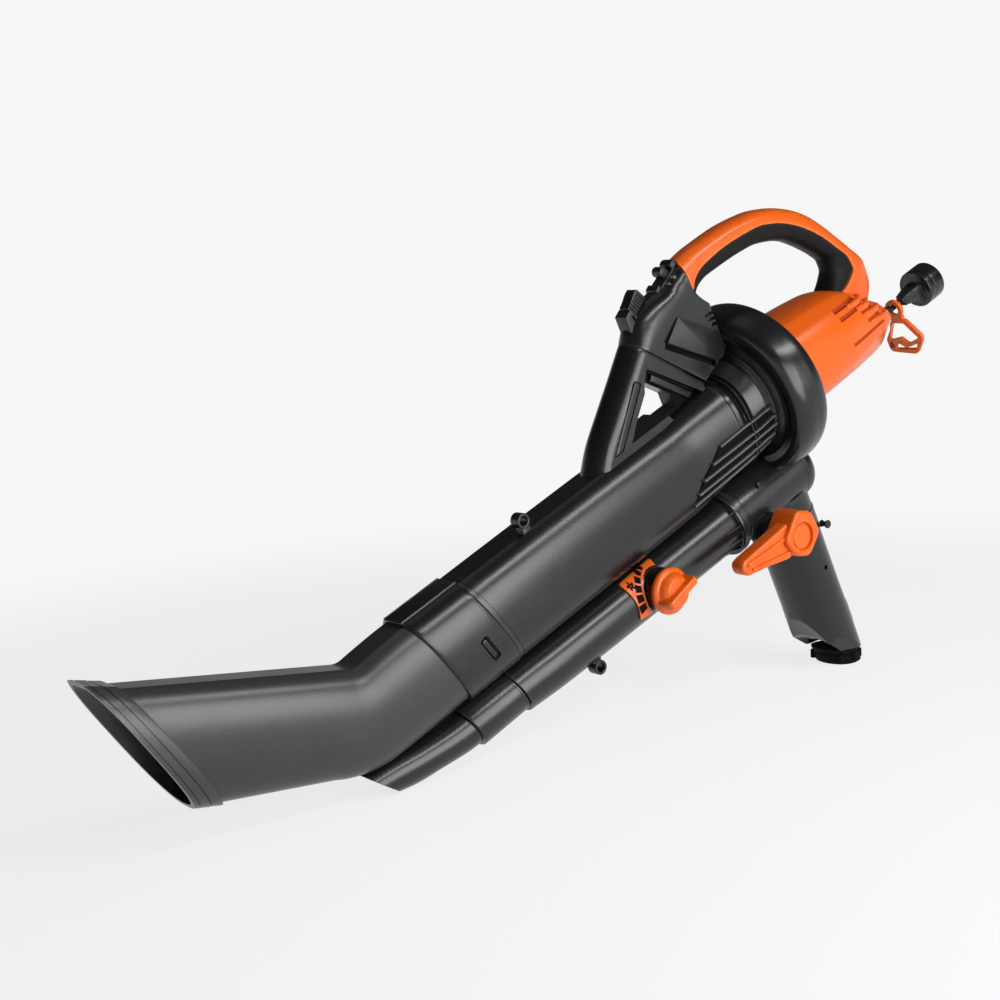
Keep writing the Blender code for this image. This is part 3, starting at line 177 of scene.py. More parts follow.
def softened(points, radius, steps=5, closed=True):
    # each corner becomes a quadratic curve that starts and ends a radius away from it
    p = np.asarray(points, float)
    radius = np.broadcast_to(radius, len(p)).astype(float)[:, None]
    before, after = np.roll(p, 1, 0) - p, np.roll(p, -1, 0) - p
    long = [np.linalg.norm(side, axis=1, keepdims=True) for side in (before, after)]
    a = p + before * np.minimum(radius / long[0], 0.49)
    b = p + after * np.minimum(radius / long[1], 0.49)
    t = np.linspace(0, 1, steps)[None, :, None]
    curve = (1 - t) ** 2 * a[:, None] + 2 * t * (1 - t) * p[:, None] + t**2 * b[:, None]
    if closed:
        return curve.reshape(-1, 2)
    return np.concatenate([p[:1], curve[1:-1].reshape(-1, 2), p[-1:]])


def rounded(points, radius, steps, closed=True):
    # softened, from millimetres
    return softened(millimetres(points), radius, steps, closed)


def turned(profile, place, sides, radius=0.0006, steps=4):
    # an open profile whose corners get a small round before it is spun
    return spun(softened(profile, radius, steps, False), place, sides)


def inset(outline, by):
    # an outline moved inwards: every corner goes along the mean of its two edges' inner normals
    edge = np.roll(outline, -1, 0) - outline
    edge = edge / np.maximum(np.linalg.norm(edge, axis=1, keepdims=True), 1e-12)
    x, y = outline.T
    left = 1.0 if np.sum(x * np.roll(y, -1) - np.roll(x, -1) * y) > 0 else -1.0
    normal = left * np.stack([-edge[:, 1], edge[:, 0]], 1)
    mean = normal + np.roll(normal, 1, 0)
    return outline + by * mean / np.maximum(1 + np.sum(normal * np.roll(normal, 1, 0), 1), 0.4)[:, None]


def slab(outline, low, high, place, edge=0.0008, steps=4):
    # an outline given thickness from low to high along out; both rims are quarter rounds of radius edge
    outline = np.asarray(outline, float)
    origin, across, up, out = place
    a = np.linspace(0, math.pi / 2, steps)
    inward = edge * (1 - np.sin(a))
    rise = edge * (1 - np.cos(a))
    depths = np.concatenate([low + rise, (high - rise)[::-1]])
    inward = np.concatenate([inward, inward[::-1]])
    flats = np.stack([inset(outline, by) for by in inward])
    rings = origin + flats[..., :1] * across + flats[..., 1:] * up + depths[:, None, None] * out
    return skin(rings)


def crisp(outline, low, high, place):
    # a slab with hardly any rounding, for cutters and linings
    return slab(outline, low, high, place, 0.0001, 2)


def rectangle(long, wide, radius, centre=(0.0, 0.0), steps=6):
    # a rectangle with round corners about a centre
    a, b = long / 2, wide / 2
    return softened([(-a, -b), (a, -b), (a, b), (-a, b)], radius, steps) + np.array(centre)


def rail(path, side, out, width, depth, power=5.0):
    # a bar along a path; its section is a superellipse, width across and depth outwards
    path = np.asarray(path, float)
    t = (np.arange(20) + 0.5) * math.pi / 10
    a, b = width / 2 * swell(np.cos(t), 2 / power), depth / 2 * swell(np.sin(t), 2 / power)
    side, out = (np.broadcast_to(np.asarray(v, float), path.shape) for v in (side, out))
    return skin(path[:, None] + a[None, :, None] * side[:, None] + b[None, :, None] * out[:, None])


def shave(rings, normal, reach):
    # presses every point beyond a plane back onto it, which leaves a flat facet with clear edges
    normal = np.asarray(normal, float)
    normal = normal / np.linalg.norm(normal)
    beyond = np.maximum(rings @ normal - reach, 0.0)
    return rings - beyond[..., None] * normal


# Meshes and pieces

def outward(part):
    # the sign of the enclosed volume says which way the faces look
    verts, quads, ends = part
    tris = np.concatenate([quads[:, [0, 1, 2]], quads[:, [0, 2, 3]]])
    fans = [np.stack([np.full(len(f) - 2, f[0]), f[1:-1], f[2:]], 1) for f in map(np.array, ends)]
    tris = np.concatenate([tris] + fans) if fans else tris
    a, b, c = (toRow(verts)[tris[:, k]] for k in range(3))
    if np.sum(a * np.cross(b, c)) < 0:
        return verts, quads[:, ::-1], [f[::-1] for f in ends]
    return part


def meshOf(name, parts):
    # one mesh from several parts, each with its own points, quads and end faces
    verts, faces, start = [], [], 0
    for part in parts:
        points, quads, ends = outward(part)
        verts.append(toRow(points))
        faces += (quads + start).tolist() + [[k + start for k in f] for f in ends]
        start += len(points)
    mesh = bpy.data.meshes.new(name)
    mesh.from_pydata(np.concatenate(verts), [], faces)
    mesh.validate()
    return mesh


def shadeMesh(mesh, sharp):
    # smooth, with sharp edges where faces meet at more than so many degrees
    mesh.shade_smooth()
    mesh.set_sharp_from_angle(angle=math.radians(sharp))


def makePiece(name, parts, coat, body="housing", stands=None, sharp=35):
    # a skin stands for the node of its name, unless another one is given, and takes the coat's finish
    if name.endswith("_skin"):
        stands = stands or name.removesuffix("_skin")
    mesh = meshOf(name, parts)
    mesh.materials.append(finish[coat])
    shadeMesh(mesh, sharp)
    piece = addObject(name, mesh)
    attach(piece, body)
    if stands:
        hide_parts(stands)
    return piece


def carve(piece, parts, how="DIFFERENCE", sharp=35):
    # the mesh as the cut leaves it takes the place of the mesh and its modifier
    cutter = addObject("cutter", meshOf("cutter", parts))
    step = piece.modifiers.new("carve", "BOOLEAN")
    step.operation, step.object, step.solver = how, cutter, "MANIFOLD"
    bpy.context.view_layer.update()
    mesh = bpy.data.meshes.new_from_object(piece.evaluated_get(bpy.context.evaluated_depsgraph_get()))
    piece.modifiers.clear()
    piece.data = mesh
    shadeMesh(mesh, sharp)
    bpy.data.objects.remove(cutter, do_unlink=True)
    return piece


# Finishes. Effects that several of them use are node groups.

def feed(tree, socket, value):
    # a socket gets a link from another socket, or a plain value
    if isinstance(value, bpy.types.NodeSocket):
        tree.links.new(value, socket)
    else:
        socket.default_value = value


def node(tree, kind, values=None, **settings):
    # a new node with its settings and the values or links of its inputs
    made = tree.nodes.new(kind)
    for key, value in settings.items():
        setattr(made, key, value)
    for key, value in (values or {}).items():
        feed(tree, made.inputs[key], value)
    return made


def maths(tree, operation, a, b, clamp=False):
    return node(tree, "ShaderNodeMath", {0: a, 1: b}, operation=operation, use_clamp=clamp).outputs[0]


def weighed(tree, a, shareA, b, shareB, clamp=False):
    # the sum of two values, each times its share
    return maths(tree, "ADD", maths(tree, "MULTIPLY", a, shareA), maths(tree, "MULTIPLY", b, shareB), clamp)


def noise(tree, place, scale, detail, roughness=0.5, distortion=0.0):
    values = {"Vector": place, "Scale": scale, "Detail": detail, "Roughness": roughness,
              "Distortion": distortion}
    return node(tree, "ShaderNodeTexNoise", values).outputs["Fac"]


def ranged(tree, value, start, end, low=0.0, high=1.0, **settings):
    # start to end becomes low to high
    values = {"Value": value, "From Min": start, "From Max": end, "To Min": low, "To Max": high}
    return node(tree, "ShaderNodeMapRange", values, **settings).outputs["Result"]


def blend(tree, factor, a, b):
    # colour a to colour b; 6 and 7 are the mix node's colour sockets, and 2 is its colour result
    return node(tree, "ShaderNodeMix", {0: factor, 6: a, 7: b}, data_type="RGBA").outputs[2]


def newGroup(name, given, value, results):
    # a group with one number in and named numbers out
    tree = bpy.data.node_groups.new(name, "ShaderNodeTree")
    tree.interface.new_socket(name=given, in_out="INPUT",
                              socket_type="NodeSocketFloat").default_value = value
    for label in results:
        tree.interface.new_socket(name=label, in_out="OUTPUT", socket_type="NodeSocketFloat")
    place = node(tree, "ShaderNodeTexCoord").outputs["Object"]
    return tree, place, tree.nodes.new("NodeGroupInput").outputs[0], tree.nodes.new("NodeGroupOutput")


spark = {"coarse": 0.42, "fineShare": 0.6, "coarseShare": 0.4, "speckle": (0.38, 0.62)}


def sparkGroup():
    # spark-eroded grain: two sizes of fine noise make the height, and a speckle follows it
    tree, place, fineness, result = newGroup("spark grain", "Fineness", 900.0, ("Height", "Speckle"))
    fine = noise(tree, place, fineness, 2.0, 0.6)
    coarse = noise(tree, place, maths(tree, "MULTIPLY", fineness, spark["coarse"]), 1.0)
    height = weighed(tree, fine, spark["fineShare"], coarse, spark["coarseShare"])
    feed(tree, result.inputs["Height"], height)
    feed(tree, result.inputs["Speckle"], ranged(tree, height, *spark["speckle"]))
    return tree


handling = {"patchSize": 9.0, "patches": (0.35, 0.7), "turn": (0.3, 0.9, 0.5),
            "stretch": (14.0, 420.0, 160.0), "scuffs": (0.7, 0.78)}


def handlingGroup():
    # use: wide soft patches where hands and dust have been, and sparse hairline scuffs
    tree, place, size, result = newGroup("handling", "Patch Size", handling["patchSize"],
                                         ("Patches", "Scuffs"))
    patches = ranged(tree, noise(tree, place, size, 4.0, 0.62, 0.4), *handling["patches"])
    hairs = node(tree, "ShaderNodeMapping", {"Vector": place, "Rotation": handling["turn"],
                                             "Scale": handling["stretch"]}).outputs["Vector"]
    scuffs = ranged(tree, noise(tree, hairs, 1.0, 1.0), *handling["scuffs"])
    feed(tree, result.inputs["Patches"], patches)
    feed(tree, result.inputs["Scuffs"], maths(tree, "MULTIPLY", scuffs, patches, True))
    return tree


rubbed = {"reach": 0.06, "from": 0.52, "grain": 220.0, "break": 1.6}


def rimGroup():
    # rubbed edges: where the surface is sharply convex, broken up by noise
    tree, place, reach, result = newGroup("rubbed edges", "Reach", rubbed["reach"], ("Mask",))
    point = node(tree, "ShaderNodeNewGeometry").outputs["Pointiness"]
    over = maths(tree, "DIVIDE", maths(tree, "SUBTRACT", point, rubbed["from"]), reach, True)
    broken = maths(tree, "MULTIPLY", noise(tree, place, rubbed["grain"], 3.0), rubbed["break"])
    feed(tree, result.inputs["Mask"], maths(tree, "MULTIPLY", over, broken, True))
    return tree


groups = {"spark": sparkGroup(), "handling": handlingGroup(), "rim": rimGroup()}

# Of each finish: its colour, the colour of its patches and where it is rubbed, the roughness from and to,
# the specular level, how fine the grain is, the bump's strength and step, and how metallic it is.
finishes = {
    # the fins' finish is the black plastic made lighter: a painted highlight
    "finPaintedHighlight": ((0.05, 0.05, 0.0515), (0.075, 0.075, 0.077), (0.11, 0.11, 0.113), (0.26, 0.34), 0.5, 1150.0,
                0.12, 0.00025, 0.0),
    # the nozzle's finish is a lighter copy of the charcoal: painted light on the nozzle
    "nozzlePaintedLight": ((0.026, 0.026, 0.0268), (0.042, 0.042, 0.0432), (0.075, 0.075, 0.078), (0.28, 0.36), 0.5,
                   1150.0, 0.16, 0.00025, 0.0),
    "charcoal": ((0.0048, 0.0048, 0.0052), (0.0115, 0.0115, 0.0122), (0.05, 0.05, 0.052), (0.22, 0.3), 0.5,
                 1150.0, 0.16, 0.00025, 0.0),
    "satinBlack": ((0.007, 0.007, 0.0075), (0.013, 0.013, 0.0138), (0.04, 0.04, 0.042), (0.2, 0.3), 0.46,
                   1500.0, 0.1, 0.0002, 0.0),
    "orange": ((0.74, 0.106, 0.0048), (0.8, 0.126, 0.0076), (0.9, 0.26, 0.06), (0.24, 0.34), 0.4, 1300.0,
               0.06, 0.0002, 0.0),
    # a darker orange that is painted shade, for the floors of grooves
    "orangePaintedShade": ((0.36, 0.036, 0.003), (0.42, 0.046, 0.004), (0.5, 0.08, 0.01), (0.4, 0.5), 0.2, 1300.0,
                    0.06, 0.0002, 0.0),
    "gripRubber": ((0.006, 0.006, 0.0064), (0.0125, 0.0125, 0.0132), (0.03, 0.03, 0.031), (0.4, 0.52), 0.1,
                   800.0, 0.28, 0.0003, 0.0),
    # a near black: the own colour of the dial marks and the port's neck, and painted shade where it lines
    # grooves, slots, pockets and undercuts
    "deepBlackAndPaintedShade": ((0.003, 0.003, 0.0032), (0.005, 0.005, 0.0053), (0.01, 0.01, 0.01), (0.62, 0.74), 0.06,
                  900.0, 0.15, 0.0002, 0.0),
    "steel": ((0.42, 0.42, 0.43), (0.56, 0.56, 0.57), (0.7, 0.7, 0.7), (0.26, 0.38), 0.5, 2000.0, 0.05,
              0.0001, 1.0),
    "copper": ((0.6, 0.28, 0.14), (0.74, 0.37, 0.2), (0.8, 0.45, 0.28), (0.32, 0.44), 0.5, 1800.0, 0.12,
               0.0002, 1.0),
    "brass": ((0.66, 0.48, 0.2), (0.8, 0.6, 0.28), (0.86, 0.7, 0.4), (0.24, 0.34), 0.5, 2000.0, 0.05,
              0.0001, 1.0),
    "carbon": ((0.014, 0.014, 0.0145), (0.026, 0.026, 0.027), (0.05, 0.05, 0.05), (0.6, 0.75), 0.3, 1200.0,
               0.2, 0.0002, 0.0),
    "markGrey": ((0.3, 0.3, 0.3), (0.4, 0.4, 0.4), (0.05, 0.05, 0.052), (0.22, 0.3), 0.5, 1150.0, 0.16,
                 0.00025, 0.0),
}
wear = {"speckle": 0.55, "patches": 0.3, "rims": 0.45, "scuffs": 0.25, "dull": (0.7, 0.3)}


def makeFinish(name, colour, light, rub, roughness, specular, fineness, bump, step, metallic):
    # speckle and patches lighten the colour, rims and scuffs bring out the rubbed one, and the
    # grain's height is the bump
    made = bpy.data.materials.new(name)
    made.use_nodes = True
    tree = made.node_tree
    grain = node(tree, "ShaderNodeGroup", node_tree=groups["spark"])
    grain.inputs["Fineness"].default_value = fineness
    speckle, height = grain.outputs["Speckle"], grain.outputs["Height"]
    used = node(tree, "ShaderNodeGroup", node_tree=groups["handling"]).outputs
    rims = node(tree, "ShaderNodeGroup", node_tree=groups["rim"]).outputs["Mask"]
    shade = weighed(tree, speckle, wear["speckle"], used["Patches"], wear["patches"], True)
    worn = weighed(tree, rims, wear["rims"], used["Scuffs"], wear["scuffs"], True)
    dull = weighed(tree, used["Patches"], wear["dull"][0], speckle, wear["dull"][1])
    colour = blend(tree, worn, blend(tree, shade, (*colour, 1.0), (*light, 1.0)), (*rub, 1.0))
    grained = node(tree, "ShaderNodeBump", {"Height": height, "Strength": bump, "Distance": step})
    for label, value in (("Base Color", colour), ("Roughness", ranged(tree, dull, 0.0, 1.0, *roughness)),
                         ("Normal", grained.outputs["Normal"]), ("Specular IOR Level", specular),
                         ("Metallic", metallic)):
        feed(tree, tree.nodes["Principled BSDF"].inputs[label], value)
    return made


finish = {name: makeFinish(name, *row) for name, row in finishes.items()}
print("finishes made:", ", ".join(finish))

# Suction side

# sizes are half width, top and bottom
tube = {"axis": -0.005, "size": (0.038, 0.052, -0.0605), "rearSize": (0.047, 0.06, -0.047), "wall": 0.0025,
        "flat": 0.958, "start": -0.0877, "flare": 0.21, "rear": 0.29, "spigotStep": 0.002, "slant": 0.27,
        "front": -0.0817}


def tubeRow(at, halfWidth, top, bottom, lean):
    # a section of the straight tube whose plane leans back by lean for each unit of height
    grow = math.hypot(1, lean)
    return (at - lean * tube["axis"], tube["axis"], -math.atan(lean), halfWidth,
            (top - tube["axis"]) * grow / tube["flat"], (tube["axis"] - bottom) * grow)


def tubeSize(less=0.0, rear=False):
    # half width, top and bottom of the straight part or of its rear end, all drawn in by less
    wide, top, bottom = tube["rearSize"] if rear else tube["size"]
    return wide - less, top - less, bottom + less


def tubeSkin(table):
    # the tube's section carried along rows, a superellipse cut level on top, as a closed wall
    return skin(sections(table, 2.6, tube["flat"]), True)


def suctionTube():
    # the spigot and its step, a shallow groove, a straight run, and a flare that starts slowly
    slant, step, front, wall = (tube[key] for key in ("slant", "spigotStep", "front", "wall"))
    outer = [tubeRow(at, *tubeSize(less), slant) for at, less in
             ((tube["start"], step), (front, step), (front, 0.0006), (front + 0.0006, 0.0),
              (front + 0.005, 0.0), (front + 0.0052, 0.0005), (front + 0.0062, 0.0005),
              (front + 0.0064, 0.0))]
    small = np.array(tubeRow(tube["flare"], *tubeSize(), 0.0))
    large = np.array(tubeRow(tube["rear"], *tubeSize(rear=True), 0.0))
    ease = np.linspace(0, 1, 21)[1:]
    share = np.where(ease < 0.3, ease**2 / 0.6, ease - 0.15) / 0.85
    flare = small + (large - small) * share[:, None]
    flare[:, 0] = tube["flare"] + (tube["rear"] - tube["flare"]) * ease
    inner = [tubeRow(tube["rear"], *tubeSize(wall, True), 0.0),
             tubeRow(tube["flare"], *tubeSize(wall + step), 0.0),
             tubeRow(tube["start"], *tubeSize(wall + step), slant)]
    table = np.concatenate([outer, between([outer[-1], small], 24)[1:], flare, between(inner, 10)])
    makePiece("suction_tube_skin", [tubeSkin(table)], "charcoal")


suctionTube()

# bandSteps say how proud the mouth's band is along its width, both as shares
nozzle = {"spigot": -0.088, "collar": -0.153, "elbow": -0.251, "turn": math.radians(34), "radius": 0.075,
          "half": 0.0545, "mouth": (-0.448, 0.112), "mouthTilt": math.radians(-11.8), "mouthHalf": 0.0785,
          "mouthHalfWidth": 0.034, "band": 0.03, "proud": 0.005, "wall": 0.0025,
          "bandSteps": ((0.0, 0.62), (0.05, 0.7), (0.4, 0.76), (0.41, 0.6), (0.45, 0.6), (0.46, 0.88),
                        (0.78, 0.94), (0.79, 0.8), (0.82, 0.8), (0.83, 1.0), (1.0, 1.0)),
          "lip": (0.004, 0.005)}


def nozzleRows():
    # spigot, straight run, an elbow on a circular arc, then a straight run that grows into the tall mouth
    small = tubeSize(tube["spigotStep"])
    turn, radius, half = nozzle["turn"], nozzle["radius"], nozzle["half"]
    bendU = nozzle["elbow"] + radius * math.tan(turn / 2)
    share = np.linspace(0, 1, 15)
    a = turn * share
    elbow = np.stack([bendU - radius * np.sin(a), tube["axis"] + radius - radius * np.cos(a), a,
                      np.full(15, small[0]), np.full(15, half), np.full(15, half)], 1)
    start = [tubeRow(nozzle["spigot"], *small, tube["slant"]),
             tubeRow(nozzle["collar"] - 0.004, *small, tube["slant"]), elbow[0]]
    along = np.array([-math.cos(turn), math.sin(turn)])
    band = np.array(nozzle["mouth"]) - along * nozzle["band"]
    last = np.array([*band, nozzle["mouthTilt"], nozzle["mouthHalfWidth"], nozzle["mouthHalf"],
                     nozzle["mouthHalf"]])
    return np.concatenate([between(start, (3, 8))[:-1], elbow]), last


def suctionNozzle():
    # the outside to the mouth, its band in steps, and the inside back again, as one closed wall
    rows, last = nozzleRows()
    mouth = np.array([*nozzle["mouth"], nozzle["mouthTilt"], 0, 0, 0])
    full = nozzle["proud"]

    def bandRow(share, wide, long):
        row = last + (mouth - last) * share
        row[3:] = (nozzle["mouthHalfWidth"] + wide, nozzle["mouthHalf"] + long, nozzle["mouthHalf"] + long)
        return row

    def walls(less):
        # the elbow's last ring and the mouth's first are joined by straight lines
        small, end = rows.copy(), last.copy()
        small[:, 3:] -= less
        end[3:] -= less
        rings = sections(np.vstack([small, end]), 2.6, tube["flat"])
        return np.concatenate([rings[:-1], between(rings[-2:].reshape(2, -1), 26).reshape(27, -1, 3)[1:]])

    band = [bandRow(share, full * proud, full * proud) for share, proud in nozzle["bandSteps"]]
    band.append(bandRow(1.0, full - nozzle["lip"][0], full - nozzle["lip"][1]))
    rings = [walls(0.0), sections(band, 2.6, tube["flat"]), walls(nozzle["wall"])[::-1]]
    # the nozzle's lighter grey is painted light, a lit copy of the charcoal
    piece = makePiece("suction_nozzle_skin", [skin(np.concatenate(rings), True)], "nozzlePaintedLight")
    carve(piece, snapWindows(*snap["nozzleWindow"]))


snap = {"at": (-0.106, -0.016), "nozzleWindow": (0.0092, 0.0288), "window": (0.0106, 0.0304),
        "through": (0.028, 0.046), "button": (0.0062, 0.0232), "face": 0.0366,
        "tongue": (0.046, 0.024), "tongueAt": -0.0175, "skin": 0.029, "back": 0.0274}


def snapPlace(way):
    # the middle of a snap button, turned with the slant of the joint
    u, w = snap["at"]
    return facing(way, (u - tube["slant"] * w, 0.0, w), math.atan(tube["slant"]))


def snapWindows(wide, tall):
    # round-ended windows through the wall on both sides
    return [crisp(rectangle(wide, tall, 0.0028), *snap["through"], snapPlace(way)) for way in bothSides]


suctionNozzle()

collar = {"front": -0.153, "rear": -0.082, "proud": 0.001, "padHalfWidth": 0.015, "padRise": 0.0016}


def nozzleCollar():
    # a sleeve over the joint: the tube's section carried along rows that draw in at both ends
    slant, front, rear = tube["slant"], collar["front"], collar["rear"]

    def row(at, less):
        return tubeRow(at, *tubeSize(less - collar["proud"]), slant)

    outer = [row(front, 0.0012), row(front + 0.0008, 0.0003), row(front + 0.002, 0.0),
             row(rear - 0.0014, 0.0), row(rear - 0.0005, 0.0002), row(rear, 0.0007)]
    inner = [tubeRow(at, *tubeSize(tube["spigotStep"] - 0.0003), slant) for at in (rear, front)]
    table = np.concatenate([between(outer, (2, 2, 14, 2, 2)), inner])
    piece = makePiece("nozzle_collar_skin", [tubeSkin(table)], "charcoal")
    carve(piece, snapWindows(*snap["window"]))
    # a low pad on top with a rib along each side
    top = tube["size"][1] + collar["proud"]
    half, rise = collar["padHalfWidth"], collar["padRise"]
    a, b = front - slant * top - 0.001, rear - slant * top + 0.0022
    pad = [slab(softened([(a, -half), (b, -half), (b, half), (a, half)], 0.0016, 4), -0.0016, rise,
                facing("top", (0, 0, top)), 0.0007)]
    for y in (0.0006 - half, half - 0.0006):
        pad.append(rail([(a + 0.0006, y, top + rise), (b - 0.0006, y, top + rise)], (0, 1, 0), (0, 0, 1),
                        0.0014, 0.0012))
    makePiece("collar_pad", pad, "charcoal")
    for way in bothSides:
        place = snapPlace(way)
        button = slab(rectangle(*snap["button"], 0.002), snap["skin"], snap["face"], place, 0.0008)
        tongue = slab(rectangle(*snap["tongue"], 0.001, (snap["tongueAt"], 0.0)), snap["back"],
                      snap["skin"], place, 0.0003)
        makePiece(f"snap_button_{way}_cap", [button, tongue], "satinBlack", f"snap_{way}",
                  f"snap_button_{way}")


nozzleCollar()
print("suction side made")

# Intake between tube and fan, with its arch ring and grille

# rows of the shroud's outside are (u, half width, top, bottom) in millimetres: the tube's end, a groove,
# the arch ring and the flare to the drum; steps say how many rings fall between them
intake = {"rear": 0.3317, "fanW": 0.018, "eye": 0.058,
          "rows": ((290.3, 47.2, 60.2, -47.2), (294.6, 48.0, 60.8, -47.6), (295.0, 46.4, 59.0, -46.0),
                   (300.6, 46.7, 59.4, -46.2), (301.0, 52.0, 65.0, -50.6), (301.6, 53.0, 66.0, -51.4),
                   (303.0, 53.0, 66.0, -51.4), (303.6, 50.8, 63.6, -49.6), (305.0, 50.8, 63.6, -49.6),
                   (305.6, 53.2, 66.2, -51.6), (307.4, 53.2, 66.2, -51.6), (308.2, 49.8, 62.4, -48.4),
                   (315.0, 50.6, 64.8, -48.0), (323.0, 53.6, 70.3, -47.0), (329.0, 58.8, 76.3, -45.5),
                   (331.7, 64.0, 82.0, -46.0)),
          "steps": (3, 1, 3, 1, 1, 3, 1, 1, 1, 4, 1, 5, 6, 6, 5),
          "powers": ((290.3, 308.8, 331.7), (2.6, 2.4, 2.0)),
          "shade": ((294.8, 45.8, 58.4, -45.4), (294.8, 47.2, 59.9, -46.8), (300.9, 47.8, 60.6, -47.4),
                    (300.9, 46.0, 58.6, -45.6))}
grille = {"fins": (((256, 5), (303, 9), (325, 14)), ((239, -8), (306, -4), (329, 3)),
                   ((222, -19), (309, -12.5), (331, -8)), ((211, -30), (310, -23), (331, -20)),
                   ((202, -39), (308, -32), (329, -30))),
          "finWidth": 0.0036, "finDepth": 0.0066}


def skinHalfWidth(u, w):
    # half width at a place on the side: the tube's superellipse, width (1 - h^2.6)^(1/2.6), which turns
    # into the circle of the fan's eye towards the rear
    u, w = np.asarray(u, float), np.asarray(w, float)
    grow = np.clip((u - tube["flare"]) / (tube["rear"] - tube["flare"]), 0, 1)
    wide, top, bottom = (a + (b - a) * grow for a, b in zip(tube["size"], tube["rearSize"]))
    h = np.abs(w - tube["axis"]) / np.where(w > tube["axis"], top - tube["axis"], tube["axis"] - bottom)
    side = wide * (1 - np.clip(h, 0, 0.98) ** 2.6) ** (1 / 2.6)
    cone = np.clip((u - tube["rear"]) / (intake["rear"] - tube["rear"]), 0, 1) ** 1.4
    far = np.sqrt(np.maximum((intake["eye"] + 0.004) ** 2 - (w - intake["fanW"]) ** 2, 0.0001))
    return side * (1 - cone) + far * cone


def shroudRows(rows):
    # (u, half width, top, bottom) as rows of sections, about the middle of top and bottom
    u, wide, top, bottom = np.asarray(rows, float).T
    return np.stack([u, (top + bottom) / 2, 0 * u, wide, (top - bottom) / 2, (top - bottom) / 2], 1)


def intakeShroud():
    # superellipses along straight lines from row to row, whose power falls from the tube's to a
    # circle's, and a plain cone inside
    fan, eye = intake["fanW"], intake["eye"]
    rows, steps = np.array(intake["rows"]), intake["steps"]
    powers = np.interp(rows[:, 0], *intake["powers"])
    inner = shroudRows([(intake["rear"], eye, fan + eye, fan - eye),
                        (rows[0, 0] * 0.001, *tubeSize(tube["wall"], True))])
    table = np.concatenate([between(shroudRows(millimetres(rows)), steps), inner])
    powers = np.concatenate([between(powers[:, None], steps)[:, 0], [2.0, 2.4]])
    makePiece("intake_shroud_skin", [skin(sections(table, powers), True)], "charcoal")
    # a dark ring in the groove in front of the arch ring is painted shade
    shade = sections(shroudRows(millimetres(intake["shade"])), 2.6)
    makePiece("shroud_groove_painted_shade", [skin(shade, True)], "deepBlackAndPaintedShade")


intakeShroud()


def louvres():
    # each fin follows the tube's side through the arch ring to the drum, and dark strips between them are
    # painted shade in the slots
    t = np.linspace(0, 1, 26)
    paths = np.stack([glide((0.0, 0.68, 1.0), line, t) for line in millimetres(grille["fins"])])
    for side, name in ((-1, "near"), (1, "far")):
        def onSide(flat, lift):
            # (u, w) laid on the side and raised by a lift
            u, w = flat[..., 0], flat[..., 1]
            return np.stack([u, side * (skinHalfWidth(u, w) + lift), w], -1)

        wide, deep = grille["finWidth"], grille["finDepth"]
        bars = [rail(onSide(path, 0.0004), (0, 0, 1), (0, side, 0), wide, deep, 2.2) for path in paths]
        # the fins' lighter grey is a painted highlight on the black plastic
        makePiece(f"grille_fins_{name}", bars, "finPaintedHighlight", stands=f"louvre_{name}")
        # dark strips between the fins are painted shade
        slotShades = []
        share = np.linspace(0.03, 0.97, 7)[:, None, None]
        for upper, lower in zip(paths[:-1], paths[1:]):
            flat = upper * (1 - share) + lower * share
            loop = np.concatenate([onSide(flat, 0.0007), onSide(flat, -0.001)[::-1]], 0)
            slotShades.append(skin(loop.transpose(1, 0, 2)))
        makePiece(f"grille_slots_painted_shade_{name}", slotShades, "deepBlackAndPaintedShade")


louvres()
print("grille made")

# Blow side

# the collar's profile is (u, radius) in millimetres; knots are where the nozzle's sections stand along it
blow = {"rear": 0.2525, "top": -0.062, "frontRadius": 0.0285, "rearRadius": 0.0337, "wall": 0.0022,
        "spigot": 0.0222, "collarFront": -0.144, "collarRear": -0.08, "slant": 0.2, "collarW": -0.0897,
        "start": -0.11, "tip": (-0.256, -0.0757), "tipRadius": 0.019, "tipTilt": math.radians(-35),
        "fit": 0.0003, "knots": (0.0, 0.036, 0.095, 0.146),
        "collar": ((-144, 25.2), (-143.2, 26.0), (-142.2, 26.2), (-84.2, 26.2), (-84.0, 25.8),
                   (-83.2, 25.8), (-83.0, 26.2), (-80.8, 26.1), (-80, 25.4), (-80, 22.5), (-144, 22.5))}


def blowAxis(u):
    # middle and radius: the tube's top stays level while its radius grows with the power 0.6
    share = np.clip((np.asarray(u, float) - blow["collarRear"]) / (blow["rear"] - blow["collarRear"]), 0, 1)
    radius = blow["frontRadius"] + (blow["rearRadius"] - blow["frontRadius"]) * share**0.6
    return blow["top"] - radius, radius


def blowRow(at, w, radius):
    # a round section whose plane leans back by the slant
    lean = blow["slant"]
    grow = math.hypot(1, lean)
    return (at - lean * (w - blow["collarW"]), w, -math.atan(lean), radius, radius * grow, radius * grow)


def roundSkin(table):
    # a circle carried along rows, as a closed wall
    return skin(sections(table, 2.0, sides=112), True)


